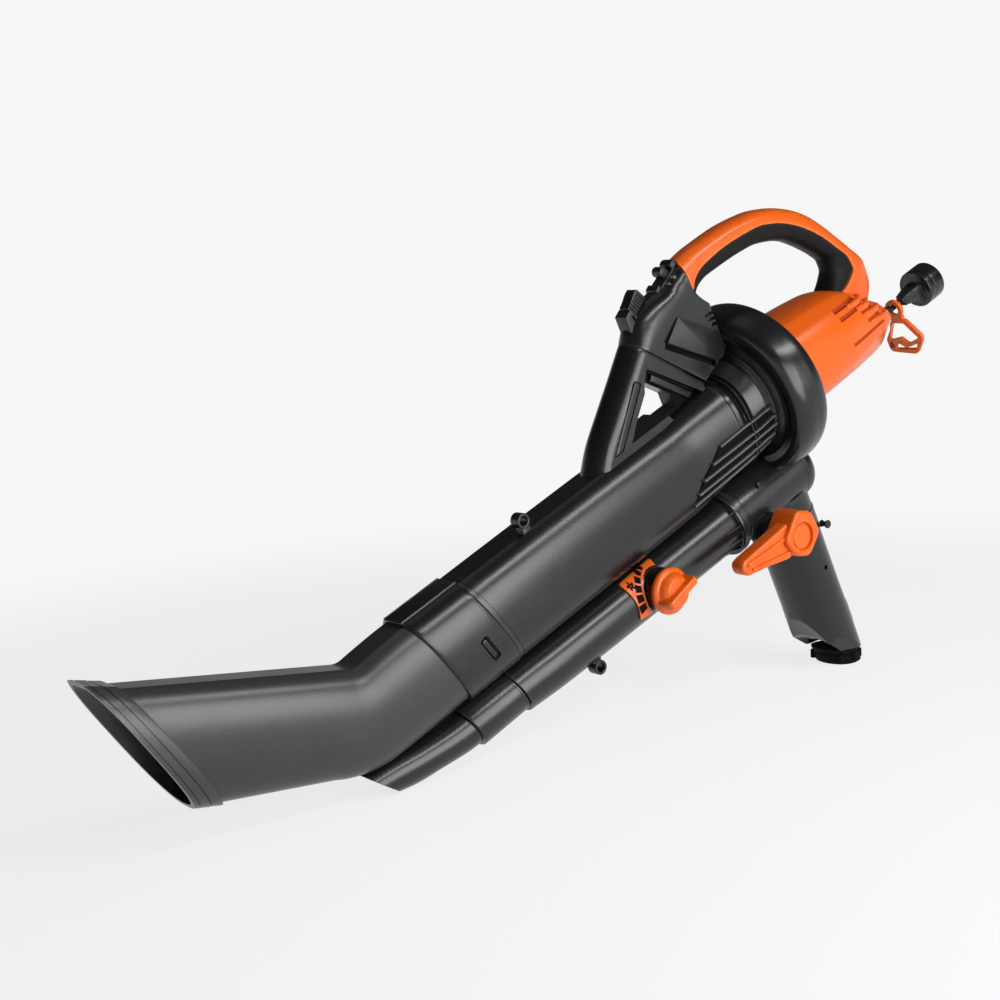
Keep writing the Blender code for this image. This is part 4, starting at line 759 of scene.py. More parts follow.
def blowTube():
    # circles along the axis; the nozzle's are joined by the cubic that keeps their shape
    spigot, front, back, w0 = (blow[key] for key in ("spigot", "collarFront", "collarRear", "collarW"))
    rear, wall = back + blow["fit"], blow["wall"]
    w, radius = (float(x) for x in blowAxis(rear))
    outer = [blowRow(blow["start"], w0, spigot), blowRow(rear, w0, spigot),
             blowRow(rear, w, radius - 0.0006), blowRow(rear + 0.0006, w, radius)]
    at = np.concatenate([[-0.03], np.linspace(-0.02, blow["rear"], 40)])
    ws, rs = blowAxis(at)
    run = np.stack([at, ws, 0 * at, rs, rs, rs], 1)
    table = np.concatenate([between(outer, (2, 1, 1))[:-1], between([outer[-1], run[0]], 8)[:-1], run])
    bore = np.concatenate([run[::-8], [outer[1], outer[0]]])
    bore[:, 3:] -= wall
    makePiece("blow_tube_skin", [roundSkin(np.concatenate([table, bore]))], "charcoal")
    rows = [blowRow(u, w0, r) for u, r in millimetres(blow["collar"])]
    makePiece("blow_collar_skin", [roundSkin(rows)], "charcoal")
    grow, tip = 1 / math.cos(blow["tipTilt"] - math.radians(5)), blow["tipRadius"]
    stations = np.array([blowRow(blow["start"] - blow["fit"], w0, spigot),
                         blowRow(front - 0.002, w0, spigot),
                         (-0.205, w0 + 0.0058, math.radians(-10), 0.0208, 0.0212, 0.0212),
                         (*blow["tip"], blow["tipTilt"], tip, tip * grow, tip * grow - 0.0002)])
    rows = glide(blow["knots"], stations, np.linspace(0, blow["knots"][-1], 40))
    lip = rows[-1] - np.array([0, 0, 0, 0.0007, 0.0007, 0.0007])
    bore = rows[::-3].copy()
    bore[:, 3:] -= wall
    makePiece("blow_nozzle_skin", [roundSkin(np.concatenate([rows, [lip], bore]))], "charcoal")


blowTube()

diverter = {"w": -0.0948, "radius": 0.038, "front": 0.26, "rear": 0.392, "wall": 0.0025, "round": 0.018,
            "ringRadius": 0.0405, "ringWidth": 0.008, "boss": (0.29, -0.124), "bossRadius": 0.019,
            "ribs": (150, 176, 202, 228, 330, 356, 22, 48)}


def diverterHousing():
    r, wall, end = diverter["radius"], diverter["wall"], diverter["round"]
    long = diverter["rear"] - diverter["front"]
    # straight with a groove near each end, then a quarter round
    outer = [(r, 0.0), (r, 0.0045), (r - 0.0005, 0.005), (r - 0.0005, 0.006), (r, 0.0065),
             (r, long - end - 0.006), (r - 0.0004, long - end - 0.0056), (r - 0.0004, long - end - 0.0048),
             (r, long - end - 0.0044), (r, long - end)]
    outer += [(r - end * (1 - math.cos(x)), long - end * (1 - math.sin(x)))
              for x in np.linspace(0, math.pi / 2, 18)[1:]]
    inside = [(0.004, long - wall), (r - wall - end * 0.6, long - wall - 0.002),
              (r - wall, long - wall - end), (r - wall, 0.0)]
    place = facing("rear", (diverter["front"], 0.0, diverter["w"]))
    body = spun(outer + [(0.004, long)] + inside, place, 128, True)
    plug = spun([(0.001, long - wall), (0.0045, long - wall), (0.0045, long), (0.001, long)], place, 24)
    (u, w), wide = diverter["boss"], diverter["bossRadius"]
    boss = turned([(0.001, 0.0235), (wide + 0.0015, 0.0235), (wide, 0.044), (wide - 0.002, 0.0462),
                   (0.001, 0.0462)], facing("near", (u, 0.0, w)), 64, 0.0008)
    makePiece("diverter_housing_skin", [body, plug, boss], "satinBlack")
    blowW, blowR = (float(x) for x in blowAxis(blow["rear"]))
    inner, outerR, wide = blow["rearRadius"] + blow["fit"], diverter["ringRadius"], diverter["ringWidth"]
    ring = [(inner, 0.0), (inner + 0.0022, 0.0), (inner + 0.003, 0.0008), (outerR - 0.0022, 0.001),
            (outerR - 0.0006, 0.0004), (outerR, 0.0016), (outerR, wide * 0.45),
            (outerR - 0.0005, wide * 0.5), (outerR - 0.0005, wide * 0.62), (outerR, wide * 0.67),
            (outerR, wide), (inner, wide)]
    parts = [spun(ring, facing("rear", (blow["rear"] - 0.002, 0.0, blowW)), 128, True)]
    along = np.linspace(0, 1, 12)
    rise = blowR - 0.001 + 0.0034 * along**1.4
    for angle in np.radians(diverter["ribs"]):
        # guide ribs run from the ring forwards along the tube
        c, s = math.cos(angle), math.sin(angle)
        path = np.stack([blow["rear"] - 0.022 + 0.021 * along, c * rise, blowW + s * rise], 1)
        parts.append(rail(path, (0.0, -s, c), (0.0, c, s), 0.0011, 0.003))
    makePiece("diverter_ring_skin", parts, "charcoal")


diverterHousing()

# the crease is a line of (u, height above the ground); front says from which height down, and how steeply,
# the front is cut back; neck rows are (height above the ground, how far inside its radius) in millimetres
port = {"u": 0.345, "radius": 0.035, "wall": 0.0025, "top": -0.1135, "rimDrop": 0.02, "neckRadius": 0.0305,
        "crease": ((0.295, 0.0617), (0.3648, 0.0272)), "sideSlope": 0.36,
        "front": ((0.0617, 0.37), (0.0333, 1.1)),
        "neck": ((19.7, 0), (13.5, 0), (13.0, 1.2), (11.5, 1.2), (11.0, 0), (3.0, 0), (0.8, 0.6), (0, 1.8),
                 (0, 5.5), (19.7, 5.5)),
        "lugs": ((-0.01, 0.0205), (0.007, 0.025), (0.024, 0.016)), "screw": (0.3505, 0.0, -0.2125)}


def groundHeight(points):
    # height above the ground of points given in the tool's frame
    return toRow(points)[..., 2]


def rimHeight(drop, u):
    # the w at u that stands a drop above the ground on the middle plane
    return (drop - stand["height"] - u * math.sin(stand["pitch"])) / math.cos(stand["pitch"])


def bagPort():
    # a straight tube cut level with the ground, with flat facets on the front and sides of its foot
    r, u, top, pitch = port["radius"], port["u"], port["top"], stand["pitch"]
    grow, rim = 1 / math.cos(pitch), rimHeight(port["rimDrop"], u)

    def level(w, radius, tilt=math.pi / 2, stretch=1.0):
        return (u, w, tilt, radius, radius * stretch, radius * stretch)

    # a band round it stands a little proud
    rows = between([level(top, r), level(top - 0.026, r), level(top - 0.0262, r + 0.0008),
                    level(top - 0.05, r + 0.0008), level(top - 0.0508, r), level(rim + 0.075, r),
                    level(rim, r, math.pi / 2 + pitch, grow)], (4, 1, 6, 1, 20, 30))
    rings = sections(rows, 2.25)
    (creaseU, creaseHigh), (rearU, rearHigh) = port["crease"]
    fall = (creaseHigh - rearHigh) / (rearU - creaseU)

    def facets(shape, less):
        # below a crease that falls towards the rear each side turns in, and the front is cut back twice
        high = groundHeight(shape)
        under = np.maximum(creaseHigh - fall * (shape[..., 0] - creaseU) - high, 0.0)
        limit = r - less - port["sideSlope"] * under
        shape = shape.copy()
        shape[..., 1] = np.clip(shape[..., 1], -limit, limit)
        front, before = u - r + less, 0.0
        for start, slant in port["front"]:
            front = front + (slant - before) * np.maximum(start - high, 0.0)
            before = slant
        shape[..., 0] = np.maximum(shape[..., 0], front)
        return shape

    outer = facets(rings, 0.0)
    small = rows.copy()
    small[:, 3:] -= port["wall"]
    inner = facets(sections(small, 2.25), port["wall"])
    piece = makePiece("bag_port_skin", [skin(np.concatenate([outer, inner[::-1]]), True)],
                      "satinBlack", sharp=24)
    hole = spun([(0.001, 0.028), (0.003, 0.028), (0.003, 0.04), (0.001, 0.04)],
                facing("near", port["screw"]), 24)
    carve(piece, [hole], sharp=24)

    def neckRow(drop, radius):
        # an oval, longer to the front
        return (u + 0.004, rimHeight(drop, u + 0.004), math.pi / 2 + pitch, radius * 0.86,
                radius * grow * 0.93, radius * grow * 0.6)

    rows = [neckRow(drop, port["neckRadius"] - less) for drop, less in millimetres(port["neck"])]
    neck = [skin(sections(rows, 2.2, sides=112), True)]
    for side in (-1, 1):
        for du, y in port["lugs"]:
            # bayonet lugs that the bag's collar turns under
            at = (u + 0.002 + du, side * y, rimHeight(0.0085, u + 0.002 + du))
            neck.append(turned([(0.0005, -0.005), (0.0042, -0.005), (0.0042, 0.005), (0.0005, 0.005)],
                               facing("top", at, -pitch), 24, 0.0008))
    makePiece("bag_port_neck_skin", neck, "deepBlackAndPaintedShade")


bagPort()
print("blow side and bag port made")

# Fan drum

# profiles are (radius, depth behind the front) and (radius, depth behind the rear) in millimetres
drum = {"front": 0.332, "rear": 0.379, "w": 0.018, "radius": 0.101,
        "face": ((58.5, 0.8), (64.0, 1.0), (69.0, 4.0), (74.5, 5.8), (78.5, 5.0), (81.0, 2.2), (83.5, 0.6),
                 (86.5, 0.1), (89.0, 0.6)),
        "rearWall": ((54.5, -2.5), (54.5, 0), (79.0, 0), (80.0, -0.8), (88.5, -0.6), (89.7, -2.5))}


def fanDrum():
    # profiles turned about the fan's axis
    place = facing("rear", (0.0, 0.0, drum["w"]))
    f, b, r = drum["front"], drum["rear"], drum["radius"]
    face = millimetres(drum["face"]) + np.array([0, f])
    edge, start = face[-1]
    t = np.linspace(0, math.pi / 2, 20)[1:]
    # quarter ellipses round the front and the rear edge
    shoulder = [(edge + (r - edge) * math.sin(x), start + 0.023 * (1 - math.cos(x))) for x in t]
    back = [(r, b - 0.016)]
    back += [(r - 0.006 * (1 - math.cos(x)), b - 0.016 + 0.0155 * math.sin(x)) for x in t]
    inside = [(0.09, b - 0.002), (0.0975, b - 0.016), (0.0975, f + 0.015), (0.09, f + 0.008),
              (0.06, f + 0.008), (0.0585, f + 0.004)]
    makePiece("volute_front_skin", [spun([*face, *shoulder, *back, *inside], place, 192, True)],
              "satinBlack", sharp=50)
    wall = millimetres(drum["rearWall"]) + np.array([0, b])
    makePiece("volute_rear_skin", [spun(wall, place, 192, True)], "satinBlack")


fanDrum()

# Column, strut and their panels. Outlines are (u, w) in millimetres.

frameWork = {
    "strutHalf": 0.02, "strutRound": 0.019, "columnHalf": 0.021,
    "columnRound": (0.0205, 0.026, 0.03, 0.031, 0.029, 0.023, 0.019, 0.0175),
    "strut": (((104, 50), (122, 34)), ((128, 77), (159, 42)), ((156, 100), (207, 42)),
              ((185, 123), (256, 42)), ((204, 138.6), (286, 42)), ((216.7, 149), (286, 66.5))),
    "column": (((217.4, 149.4), (290, 66.4)), ((226, 161), (318, 77.5)), ((233, 167.8), (331.7, 84.5)),
               ((240, 172), (331.7, 100)), ((258, 177.4), (331.7, 122)), ((280, 180.2), (331.7, 139.0)),
               ((298, 187.2), (324.5, 147.5)), ((314.5, 193.6), (316.2, 157.4))),
    "window": ((165, 59.8), (183, 78.5), (206, 98.5), (214, 105.5), (219, 103), (245.5, 75.5),
               (245.5, 59.8)),
    "strutPanel": ((198.4, 117.6), (206.0, 109.6), (151.5, 58.5), (137.0, 58.5)),
    "pocket": ((219.1, 120.2), (280.0, 59.4), (284, 50), (230, 50), (205, 97), (208.8, 106.5)),
    "pocketBar": ((227.5, 108.3), (271.6, 62.2), (264.3, 59.9), (222.6, 103.2)),
    "trapezoid": ((281.6, 148.4), (327.0, 107.4), (330.8, 88.0), (321.0, 79.2), (312.0, 79.6),
                  (254.6, 131.6)),
    "undercut": ((254.6, 131.2), (312.0, 79.0), (309.0, 74.0), (250.4, 126.6)),
    "trapezoidTilt": math.radians(3.0), "vents": ((325.5, 129.0), (328.0, 122.2), (330.5, 115.4)),
    "ventTilt": math.radians(-14), "vent": ((-7.4, -2.2), (8.0, -1.4), (8.0, 2.4), (-5.2, 2.0)),
}


def ladder(rungs, half, radius, rows=64, steps=14, edge=0.0006):
    # each rung runs from the front line to the rear line; its section is a half round in front (depth =
    # radius (1 - cos), y = half sin) and then flat sides up to a flat back
    rungs = millimetres(rungs)
    front, rear = rungs[:, 0], rungs[:, 1]
    knots = distances(front)
    at = np.unique(np.concatenate([np.linspace(0, knots[-1], rows), knots]))
    a = glide(knots, front, at)
    b = np.stack([np.interp(at, knots, rear[:, k]) for k in (0, 1)], 1)
    long = np.linalg.norm(b - a, axis=1)[:, None]
    way = (b - a) / long
    turn = np.linspace(0, math.pi / 2, steps)
    radius = np.interp(at, knots, np.broadcast_to(radius, len(knots)))[:, None]
    y = np.concatenate([half * np.sin(turn), np.full(5, half), [half - edge]])
    depth = np.concatenate([radius * (1 - np.cos(turn)),
                            radius + (long - radius - edge) * np.linspace(0, 1, 6)[1:], long], 1)
    depth, y = np.concatenate([depth, depth[:, :0:-1]], 1), np.concatenate([-y, y[:0:-1]])
    flat = a[:, None] + way[:, None] * depth[..., None]
    rings = np.stack([flat[..., 0], np.broadcast_to(y, flat.shape[:2]), flat[..., 1]], -1)
    # both ends draw in a little, so that the seams read as lines
    rings[0, :, 1] *= 1 - edge / half
    rings[-1, :, 1] *= 1 - edge / half
    return rings


def prism(outline, half):
    # an outline carried straight across from one side to the other
    flat = millimetres(outline)
    sides = [np.stack([flat[:, 0], np.full(len(flat), y), flat[:, 1]], -1) for y in (-half, half)]
    return skin(np.stack(sides))


def frontStrut():
    # a ladder with a window through it, and a panel and a pocket let into each flank
    half, window = frameWork["strutHalf"], prism(frameWork["window"], 0.05)
    rings = ladder(frameWork["strut"], half, frameWork["strutRound"])
    floor = np.interp(rings[..., 0], [0.21, 0.29], [0.0505, 0.0585])
    rings[..., 2] = np.maximum(rings[..., 2], floor)
    strut = makePiece("front_strut_skin", [skin(rings)], "charcoal")
    carve(strut, [window])
    cuts, inserts, shades = [], [], []
    panel = rounded(frameWork["strutPanel"], 0.003, 5)
    insert = softened(inset(millimetres(frameWork["strutPanel"]), 0.0014), 0.0022, 5)
    pocket = rounded(frameWork["pocket"], 0.0008, 3)
    bar = rounded(frameWork["pocketBar"], 0.001, 4)
    for place in map(facing, bothSides):
        cuts += [crisp(panel, half - 0.0018, half + 0.004, place),
                 crisp(pocket, half - 0.0105, half + 0.004, place)]
        inserts += [slab(insert, half - 0.004, half + 0.0002, place, 0.0006),
                    slab(bar, half - 0.0115, half - 0.006, place, 0.0006)]
        # a dark sheet on each pocket's floor is painted shade
        shades.append(crisp(inset(pocket, 0.0006), half - 0.0112, half - 0.0102, place))
    carve(strut, cuts)
    makePiece("strut_panels", inserts, "charcoal")
    shade = makePiece("strut_pocket_painted_shade", shades, "deepBlackAndPaintedShade")
    carve(shade, [window])


frontStrut()


def tiltedPlate(outline, side, half, tilt, low, high):
    # a plate whose upper edge lies on the flank and whose lower edge stands out from it
    flat = millimetres(outline)
    run = flat[1] - flat[0]
    run = run / np.linalg.norm(run)
    rise = np.array([-run[1], run[0]])
    across = np.array([run[0], 0.0, run[1]])
    up = np.array([rise[0] * math.cos(tilt), -side * math.sin(tilt), rise[1] * math.cos(tilt)])
    out = np.array([rise[0] * math.sin(tilt), side * math.cos(tilt), rise[1] * math.sin(tilt)])
    origin = np.array([flat[0, 0], side * half, flat[0, 1]])
    local = np.stack([(flat - flat[0]) @ run, (flat - flat[0]) @ rise], 1)
    return slab(softened(local, 0.0008, 3), low, high, [origin, across, up, out], 0.0004)


def slope(where, way="top", along=0.0, lift=0.0):
    # a facing on one of the sloping places, moved along and out from it
    u, w = where["at"]
    c, s = math.cos(where["pitch"]), math.sin(where["pitch"])
    return facing(way, (u + along * c - lift * s, 0.0, w + along * s + lift * c), where["pitch"])


def upperHousing():
    # a ladder with the switch's hole on top, and vents and an undercut in each flank
    half = frameWork["columnHalf"]
    column = makePiece("upper_housing_skin",
                       [skin(ladder(frameWork["column"], half, frameWork["columnRound"]))], "charcoal")
    vent = rounded(frameWork["vent"], 0.0006, 3)
    under = millimetres(frameWork["undercut"])
    cuts = [crisp(rectangle(*switch["hole"], 0.0015), *switch["depth"], slope(switch))]
    for way in bothSides:
        cuts += [crisp(vent, half - 0.008, half + 0.003, facing(way, (u, 0.0, w), frameWork["ventTilt"]))
                 for u, w in millimetres(frameWork["vents"])]
    cuts += [crisp(under, half - 0.006, half + 0.003, facing(way)) for way in bothSides]
    carve(column, cuts)
    # a dark sheet in each undercut is painted shade
    makePiece("housing_undercut_painted_shade", [crisp(inset(under, 0.0003), half - 0.0066, half - 0.005, facing(way))
                                    for way in bothSides], "deepBlackAndPaintedShade")
    makePiece("housing_panels", [tiltedPlate(frameWork["trapezoid"], side, half, frameWork["trapezoidTilt"],
                                             -0.007, 0.0024) for side in (-1, 1)], "charcoal")


# outlines are in millimetres: (along, out) for the switch and the latch, and (u, w) for the catch
switch = {"at": (0.2985, 0.1885), "pitch": math.radians(23.1), "half": 0.0087,
          "hole": (0.045, 0.0176), "depth": (-0.016, 0.009),
          "ramp": ((-22.5, -12), (-22.5, 0.4), (-20, 2.2), (-14.0, 2.4), (-13.6, -12)),
          "hood": ((10.9, -12), (11.0, 2.6), (12.6, 4.6), (17.5, 5.0), (21.5, 3.0), (22.5, -12)),
          "floor": ((-22, -14), (-22, -1.6), (22, -1.6), (22, -14)),
          "knobAt": (0.0028, -0.001), "knobRadius": 0.0058, "knobHalf": 0.0068, "stem": 0.0046,
          "bar": (0.2908, 0.0, 0.1832), "ring": (0.3006, 0.0, 0.1862)}
latch = {"at": (0.248, 0.183), "pitch": math.radians(29.0), "half": 0.007,
         "body": ((-12.2, -7.5), (12.2, -7.8), (12.2, 6.6), (10.5, 8.2), (5.0, 8.4), (-4.0, 6.8),
                  (-12.2, 6.0)),
         "ribsFrom": -0.0084, "ribStep": 0.0034, "ribs": 6}
catch = {"half": 0.009,
         "outline": ((226.5, 150.8), (226.5, 176.6), (235.8, 181.2), (243.5, 168.0), (239.0, 150.8)),
         "slot": ((233.6, 175.2), (237.4, 173.2), (240.2, 160.8), (231.6, 157.4), (232.6, 159.6),
                  (237.0, 160.6))}


def switchMarks():
    # a bar for on and a ring for off
    bar = crisp(rectangle(0.0008, 0.003, 0.0002), 0.013, 0.0184,
                facing("near", switch["bar"], switch["pitch"]))
    ring = spun([(0.0011, 0.013), (0.0017, 0.013), (0.0017, 0.0181), (0.0011, 0.0181)],
                facing("near", switch["ring"]), 24, True)
    makePiece("switch_marks", [bar, ring], "markGrey")


def switchAndLatch():
    # the switch's bed: a ramp in front and a hood behind the slide
    side, half = slope(switch, "near"), switch["half"]
    ramp, hood, floor = (millimetres(switch[key]) for key in ("ramp", "hood", "floor"))
    bed = [slab(softened(ramp, 0.001, 4), -half, half, side, 0.0008),
           slab(softened(hood, 0.0022, 6), -half, half, side, 0.0014),
           slab(floor, -half, half, side, 0.0003)]
    makePiece("switch_bed", bed, "satinBlack", stands="switch_plate")
    # the knob is a roller on a stem
    t, r, stem = np.linspace(-0.35, math.pi + 0.35, 26), switch["knobRadius"], switch["stem"]
    roller = np.stack([-0.0012 + r * np.cos(t), r + r * np.sin(t)], 1)
    knob = slab(np.concatenate([roller, [(-stem, -0.0012), (stem, -0.0012)]]), -switch["knobHalf"],
                switch["knobHalf"], slope(switch, "near", *switch["knobAt"]), 0.0016)
    makePiece("power_switch_knob", [knob], "satinBlack", "switch_slide", "power_switch")
    parts = [slab(rounded(latch["body"], 0.0009, 4), -latch["half"], latch["half"],
                  slope(latch, "near"), 0.0007)]
    origin, across, up, out = slope(latch)
    for k in range(latch["ribs"]):
        for way in (-1, 1):
            # grip ribs square to the latch's length
            foot = origin + (latch["ribsFrom"] + latch["ribStep"] * k) * across + way * 0.0072 * up
            path = [foot - 0.0064 * out, foot + 0.0052 * out]
            parts.append(rail(path, across, up * way, 0.0016, 0.0026, 2.6))
    makePiece("housing_latch_skin", parts, "satinBlack", "latch_slide")
    slot, half = rounded(catch["slot"], 0.0004, 3), catch["half"]
    block = slab(rounded(catch["outline"], 0.0009, 4), -half, half, facing("near"), 0.0007)
    block = makePiece("latch_catch_skin", [block], "satinBlack")
    carve(block, [crisp(slot, 0.007, 0.01, facing(way)) for way in bothSides])
    # a dark sheet in each slot is painted shade
    makePiece("latch_catch_slot_painted_shade", [crisp(inset(slot, 0.0001), 0.0066, 0.0074, facing(way))
                                   for way in bothSides], "deepBlackAndPaintedShade")


upperHousing()
switchAndLatch()
switchMarks()
print("drum, column and strut made")

# Handle: two D-shaped bars that meet at a seam. Points are (u, w) in millimetres.

handle = {
    "seam": ((316.2, 160), (327, 172.0), (345, 178.6), (386, 182), (434.5, 179), (464, 170), (491, 155),
             (511, 139), (528, 122), (543.5, 102), (557, 81), (558.5, 68), (543, 56), (519, 48)),
    "crown": ((318, 196.0), (334, 198.4), (348, 199.6), (388, 200.2), (438, 195.2), (470, 185.9),
              (500.5, 170.4), (522, 154.0), (540, 134.0), (557.5, 110), (572.5, 88.5), (589.0, 62),
              (590.5, 38), (572, 4)),
    "grip": ((323.5, 151.4), (334, 157.8), (352, 161.5), (385, 161.5), (425, 159.5), (455, 152), (481, 140),
             (497, 127.5), (513, 112.5), (525.5, 99), (532, 89), (532.5, 80), (527, 70), (512, 54)),
    "halfWidths": (20, 19, 18, 18, 18, 18, 18, 18, 18, 18, 19, 20, 21, 21),
    "gripHalfWidth": 18, "gap": 0.48,
}


def halfBar(seam, crown, widths, steps=34, rows=110):
    # from the seam's flat to the crown and back along both lines: y = width cos^0.8, height = sin^0.8
    seam, crown, widths = (np.asarray(x, float) for x in (seam, crown, widths))
    knots = distances((seam + crown) / 2)
    at = np.linspace(0, knots[-1], rows)
    a, b = glide(knots, seam, at), glide(knots, crown, at)
    wide = glide(knots, widths[:, None], at)
    t = np.linspace(0, math.pi, steps)
    y, h = wide * swell(np.cos(t), 0.8), swell(np.sin(t), 0.8)
    path = a[:, None] + (b - a)[:, None] * h[None, :, None]
    return np.stack([path[..., 0], y, path[..., 1]], -1) * 0.001


def loopHandle():
    # the shell reaches from the seam to the crown, and the grip from a gap inside the seam to its own line
    seam, grip = np.array(handle["seam"], float), np.array(handle["grip"], float)
    shell = halfBar(seam, handle["crown"], handle["halfWidths"])
    makePiece("handle_shell_skin", [skin(shell)], "orange")
    way = (grip - seam) / np.linalg.norm(grip - seam, axis=1, keepdims=True)
    inner = halfBar(seam + way * handle["gap"], grip, np.full(len(seam), handle["gripHalfWidth"]))
    makePiece("handle_grip_skin", [skin(inner)], "gripRubber")


loopHandle()

# profiles are (radius, distance along) and the grip (u, half width, half height), in millimetres
plug = {"w": -0.0176, "cord": 0.0036, "ballU": 0.6015, "ribs": (0.6425, 0.6475, 0.6525),
        "neck": ((5.6, 10.6), (5.6, 12.0), (4.8, 12.4), (4.8, 13.6), (5.3, 14.0), (5.3, 15.2), (4.3, 16.4),
                 (0.8, 16.4)),
        "bell": ((0.9, 638), (5.5, 638), (6.2, 644), (6.8, 663.5), (12.0, 668.5), (18.3, 670.1),
                 (22.1, 669.5), (23.3, 670.9), (23.3, 678.5), (23.0, 679.1), (23.0, 680.7), (23.3, 681.3),
                 (23.3, 696.7), (22.5, 697.5), (21.1, 697.5), (20.7, 696.7), (20.7, 685.5), (0.9, 685.5)),
        "grip": ((640, 6.6, 6.0), (647, 8.0, 7.0), (664, 10.8, 9.2), (672, 12.0, 10.0))}

# rows are (u, middle, half width, up, down), grooves (u, w, u, w, width) and fingers (u, w, u, w), all in
# millimetres; a facet is the direction it faces to one side and up, the lower one under each side and the
# upper one along each shoulder
cover = {
    "wall": 0.0025, "lowFacet": (0.8, -0.6), "highFacet": (0.62, 0.785),
    "rows": ((379.5, 16.5, 56.5, 57.5, 57.5), (445, 14.2, 55, 56, 55), (495, 10.5, 51, 54.5, 51.5),
             (525, 8, 46, 48, 49), (560, -2.5, 39, 31, 38), (584, -10.5, 29, 20, 27.5),
             (598, -17.6, 14, 10, 13)),
    "crease": -0.012, "grooveDepth": 0.0022,
    "grooves": ((480.9, 49.2, 527.9, 44.8, 5.6), (482.3, 38.3, 533.3, 34.3, 5.4),
                (522.7, 27.4, 550.2, 23.7, 4.8), (528.7, 13.9, 556.5, 11.4, 4.6),
                (488.9, 3.4, 560.2, -1.0, 4.2)),
    "fingers": ((506.0, 42.0, 546.0, 37.0), (518.3, 32.5, 556.0, 27.0), (529.1, 20.9, 564.0, 16.0),
                (538.0, 6.9, 571.0, 3.5)),
    "fingerWidth": 0.0074, "fingerProud": 0.0046,
}


def motorCover():
    # superellipses smoothed along u and pressed flat by four facets, with grooves cut along straight
    # lines that are laid on the sides
    rows = millimetres(cover["rows"])
    at = np.concatenate([np.linspace(rows[0, 0], 0.56, 50), np.linspace(0.563, 0.598, 14)])
    table = glide(rows[:, 0], rows, at)
    table = np.insert(table, 2, 0.0, axis=1)

    def shaped(less):
        small = table.copy()
        small[:, 3:] -= less
        small[:, 0] -= less * np.interp(at, [0.5, 0.598], [0.0, 1.6])
        rings = sections(small, 2.5, sides=160)
        middle, wide, up = (small[:, k, None] for k in (1, 3, 4))
        for side in (-1, 1):
            a, b = cover["lowFacet"]
            rings = shave(rings, [0, side * a, b], a * wide * 0.975 + b * (cover["crease"] - less * 0.2))
            a, b = cover["highFacet"]
            rings = shave(rings, [0, side * a, b], a * wide * 0.6 + b * (middle + up * 0.865))
        return rings

    outer, inner = shaped(0.0), shaped(cover["wall"])
    # the half width of the finished skin at a height, ring by ring, for what lies on its sides
    heights = np.linspace(-0.06, 0.07, 131)
    flank = np.array([np.interp(heights, ring[40:120, 2][::-1], -ring[40:120, 1][::-1]) for ring in outer])

    def halfWidth(u, w):
        # between the four nearest places of that table
        k = np.clip(np.searchsorted(at, u) - 1, 0, len(at) - 2)
        share = (u - at[k]) / (at[k + 1] - at[k])
        j = np.clip(((w - heights[0]) / 0.001).astype(int), 0, 129)
        rise = (w - heights[j]) / 0.001
        low = flank[k, j] * (1 - share) + flank[k + 1, j] * share
        high = flank[k, j + 1] * (1 - share) + flank[k + 1, j + 1] * share
        return low * (1 - rise) + high * rise

    def onSkin(line, side, lift=0.0, rows=18):
        # a straight line in (u, w) laid on one side of the cover; lift may change along it
        a, b = millimetres(line[:2]), millimetres(line[2:4])
        share = np.linspace(0, 1, rows)
        u, w = a[0] + (b[0] - a[0]) * share, a[1] + (b[1] - a[1]) * share
        return np.stack([u, side * (halfWidth(u, w) + lift), w], -1)

    piece = makePiece("motor_cover_skin", [skin(np.concatenate([inner[::-1], outer]))], "orange", sharp=22)
    cuts = [spun([(0.001, 0.585), (0.0045, 0.585), (0.0045, 0.61), (0.001, 0.61)],
                 facing("rear", (0, 0, plug["w"])), 32)]
    fingers, beds, deep = [], [], cover["grooveDepth"]
    for side in (-1, 1):
        up, out = (0, 0, 1), (0, side, 0)
        for line in cover["grooves"]:
            cuts.append(rail(onSkin(line, side), up, out, line[4] * 0.001, 2 * deep, 12.0))
            # a darker orange strip on each groove's floor is painted shade
            bed = onSkin(np.add(line, (1, 0, -1, 0, 0)), side, -deep)
            beds.append(rail(bed, up, out, line[4] * 0.00084, 0.001, 12.0))
        for line in cover["fingers"]:
            # each finger leaves the skin slowly and ends in a step
            lift = cover["fingerProud"] * np.linspace(0, 1, 18) - 0.003
            fingers.append(rail(onSkin(line, side, lift), up, out, cover["fingerWidth"], 0.006))
    carve(piece, cuts, sharp=22)
    makePiece("cover_fingers", fingers, "orange")
    makePiece("cover_groove_painted_shade", beds, "orangePaintedShade")


motorCover()
print("handle and motor cover made")

# Cord end, plug and hook

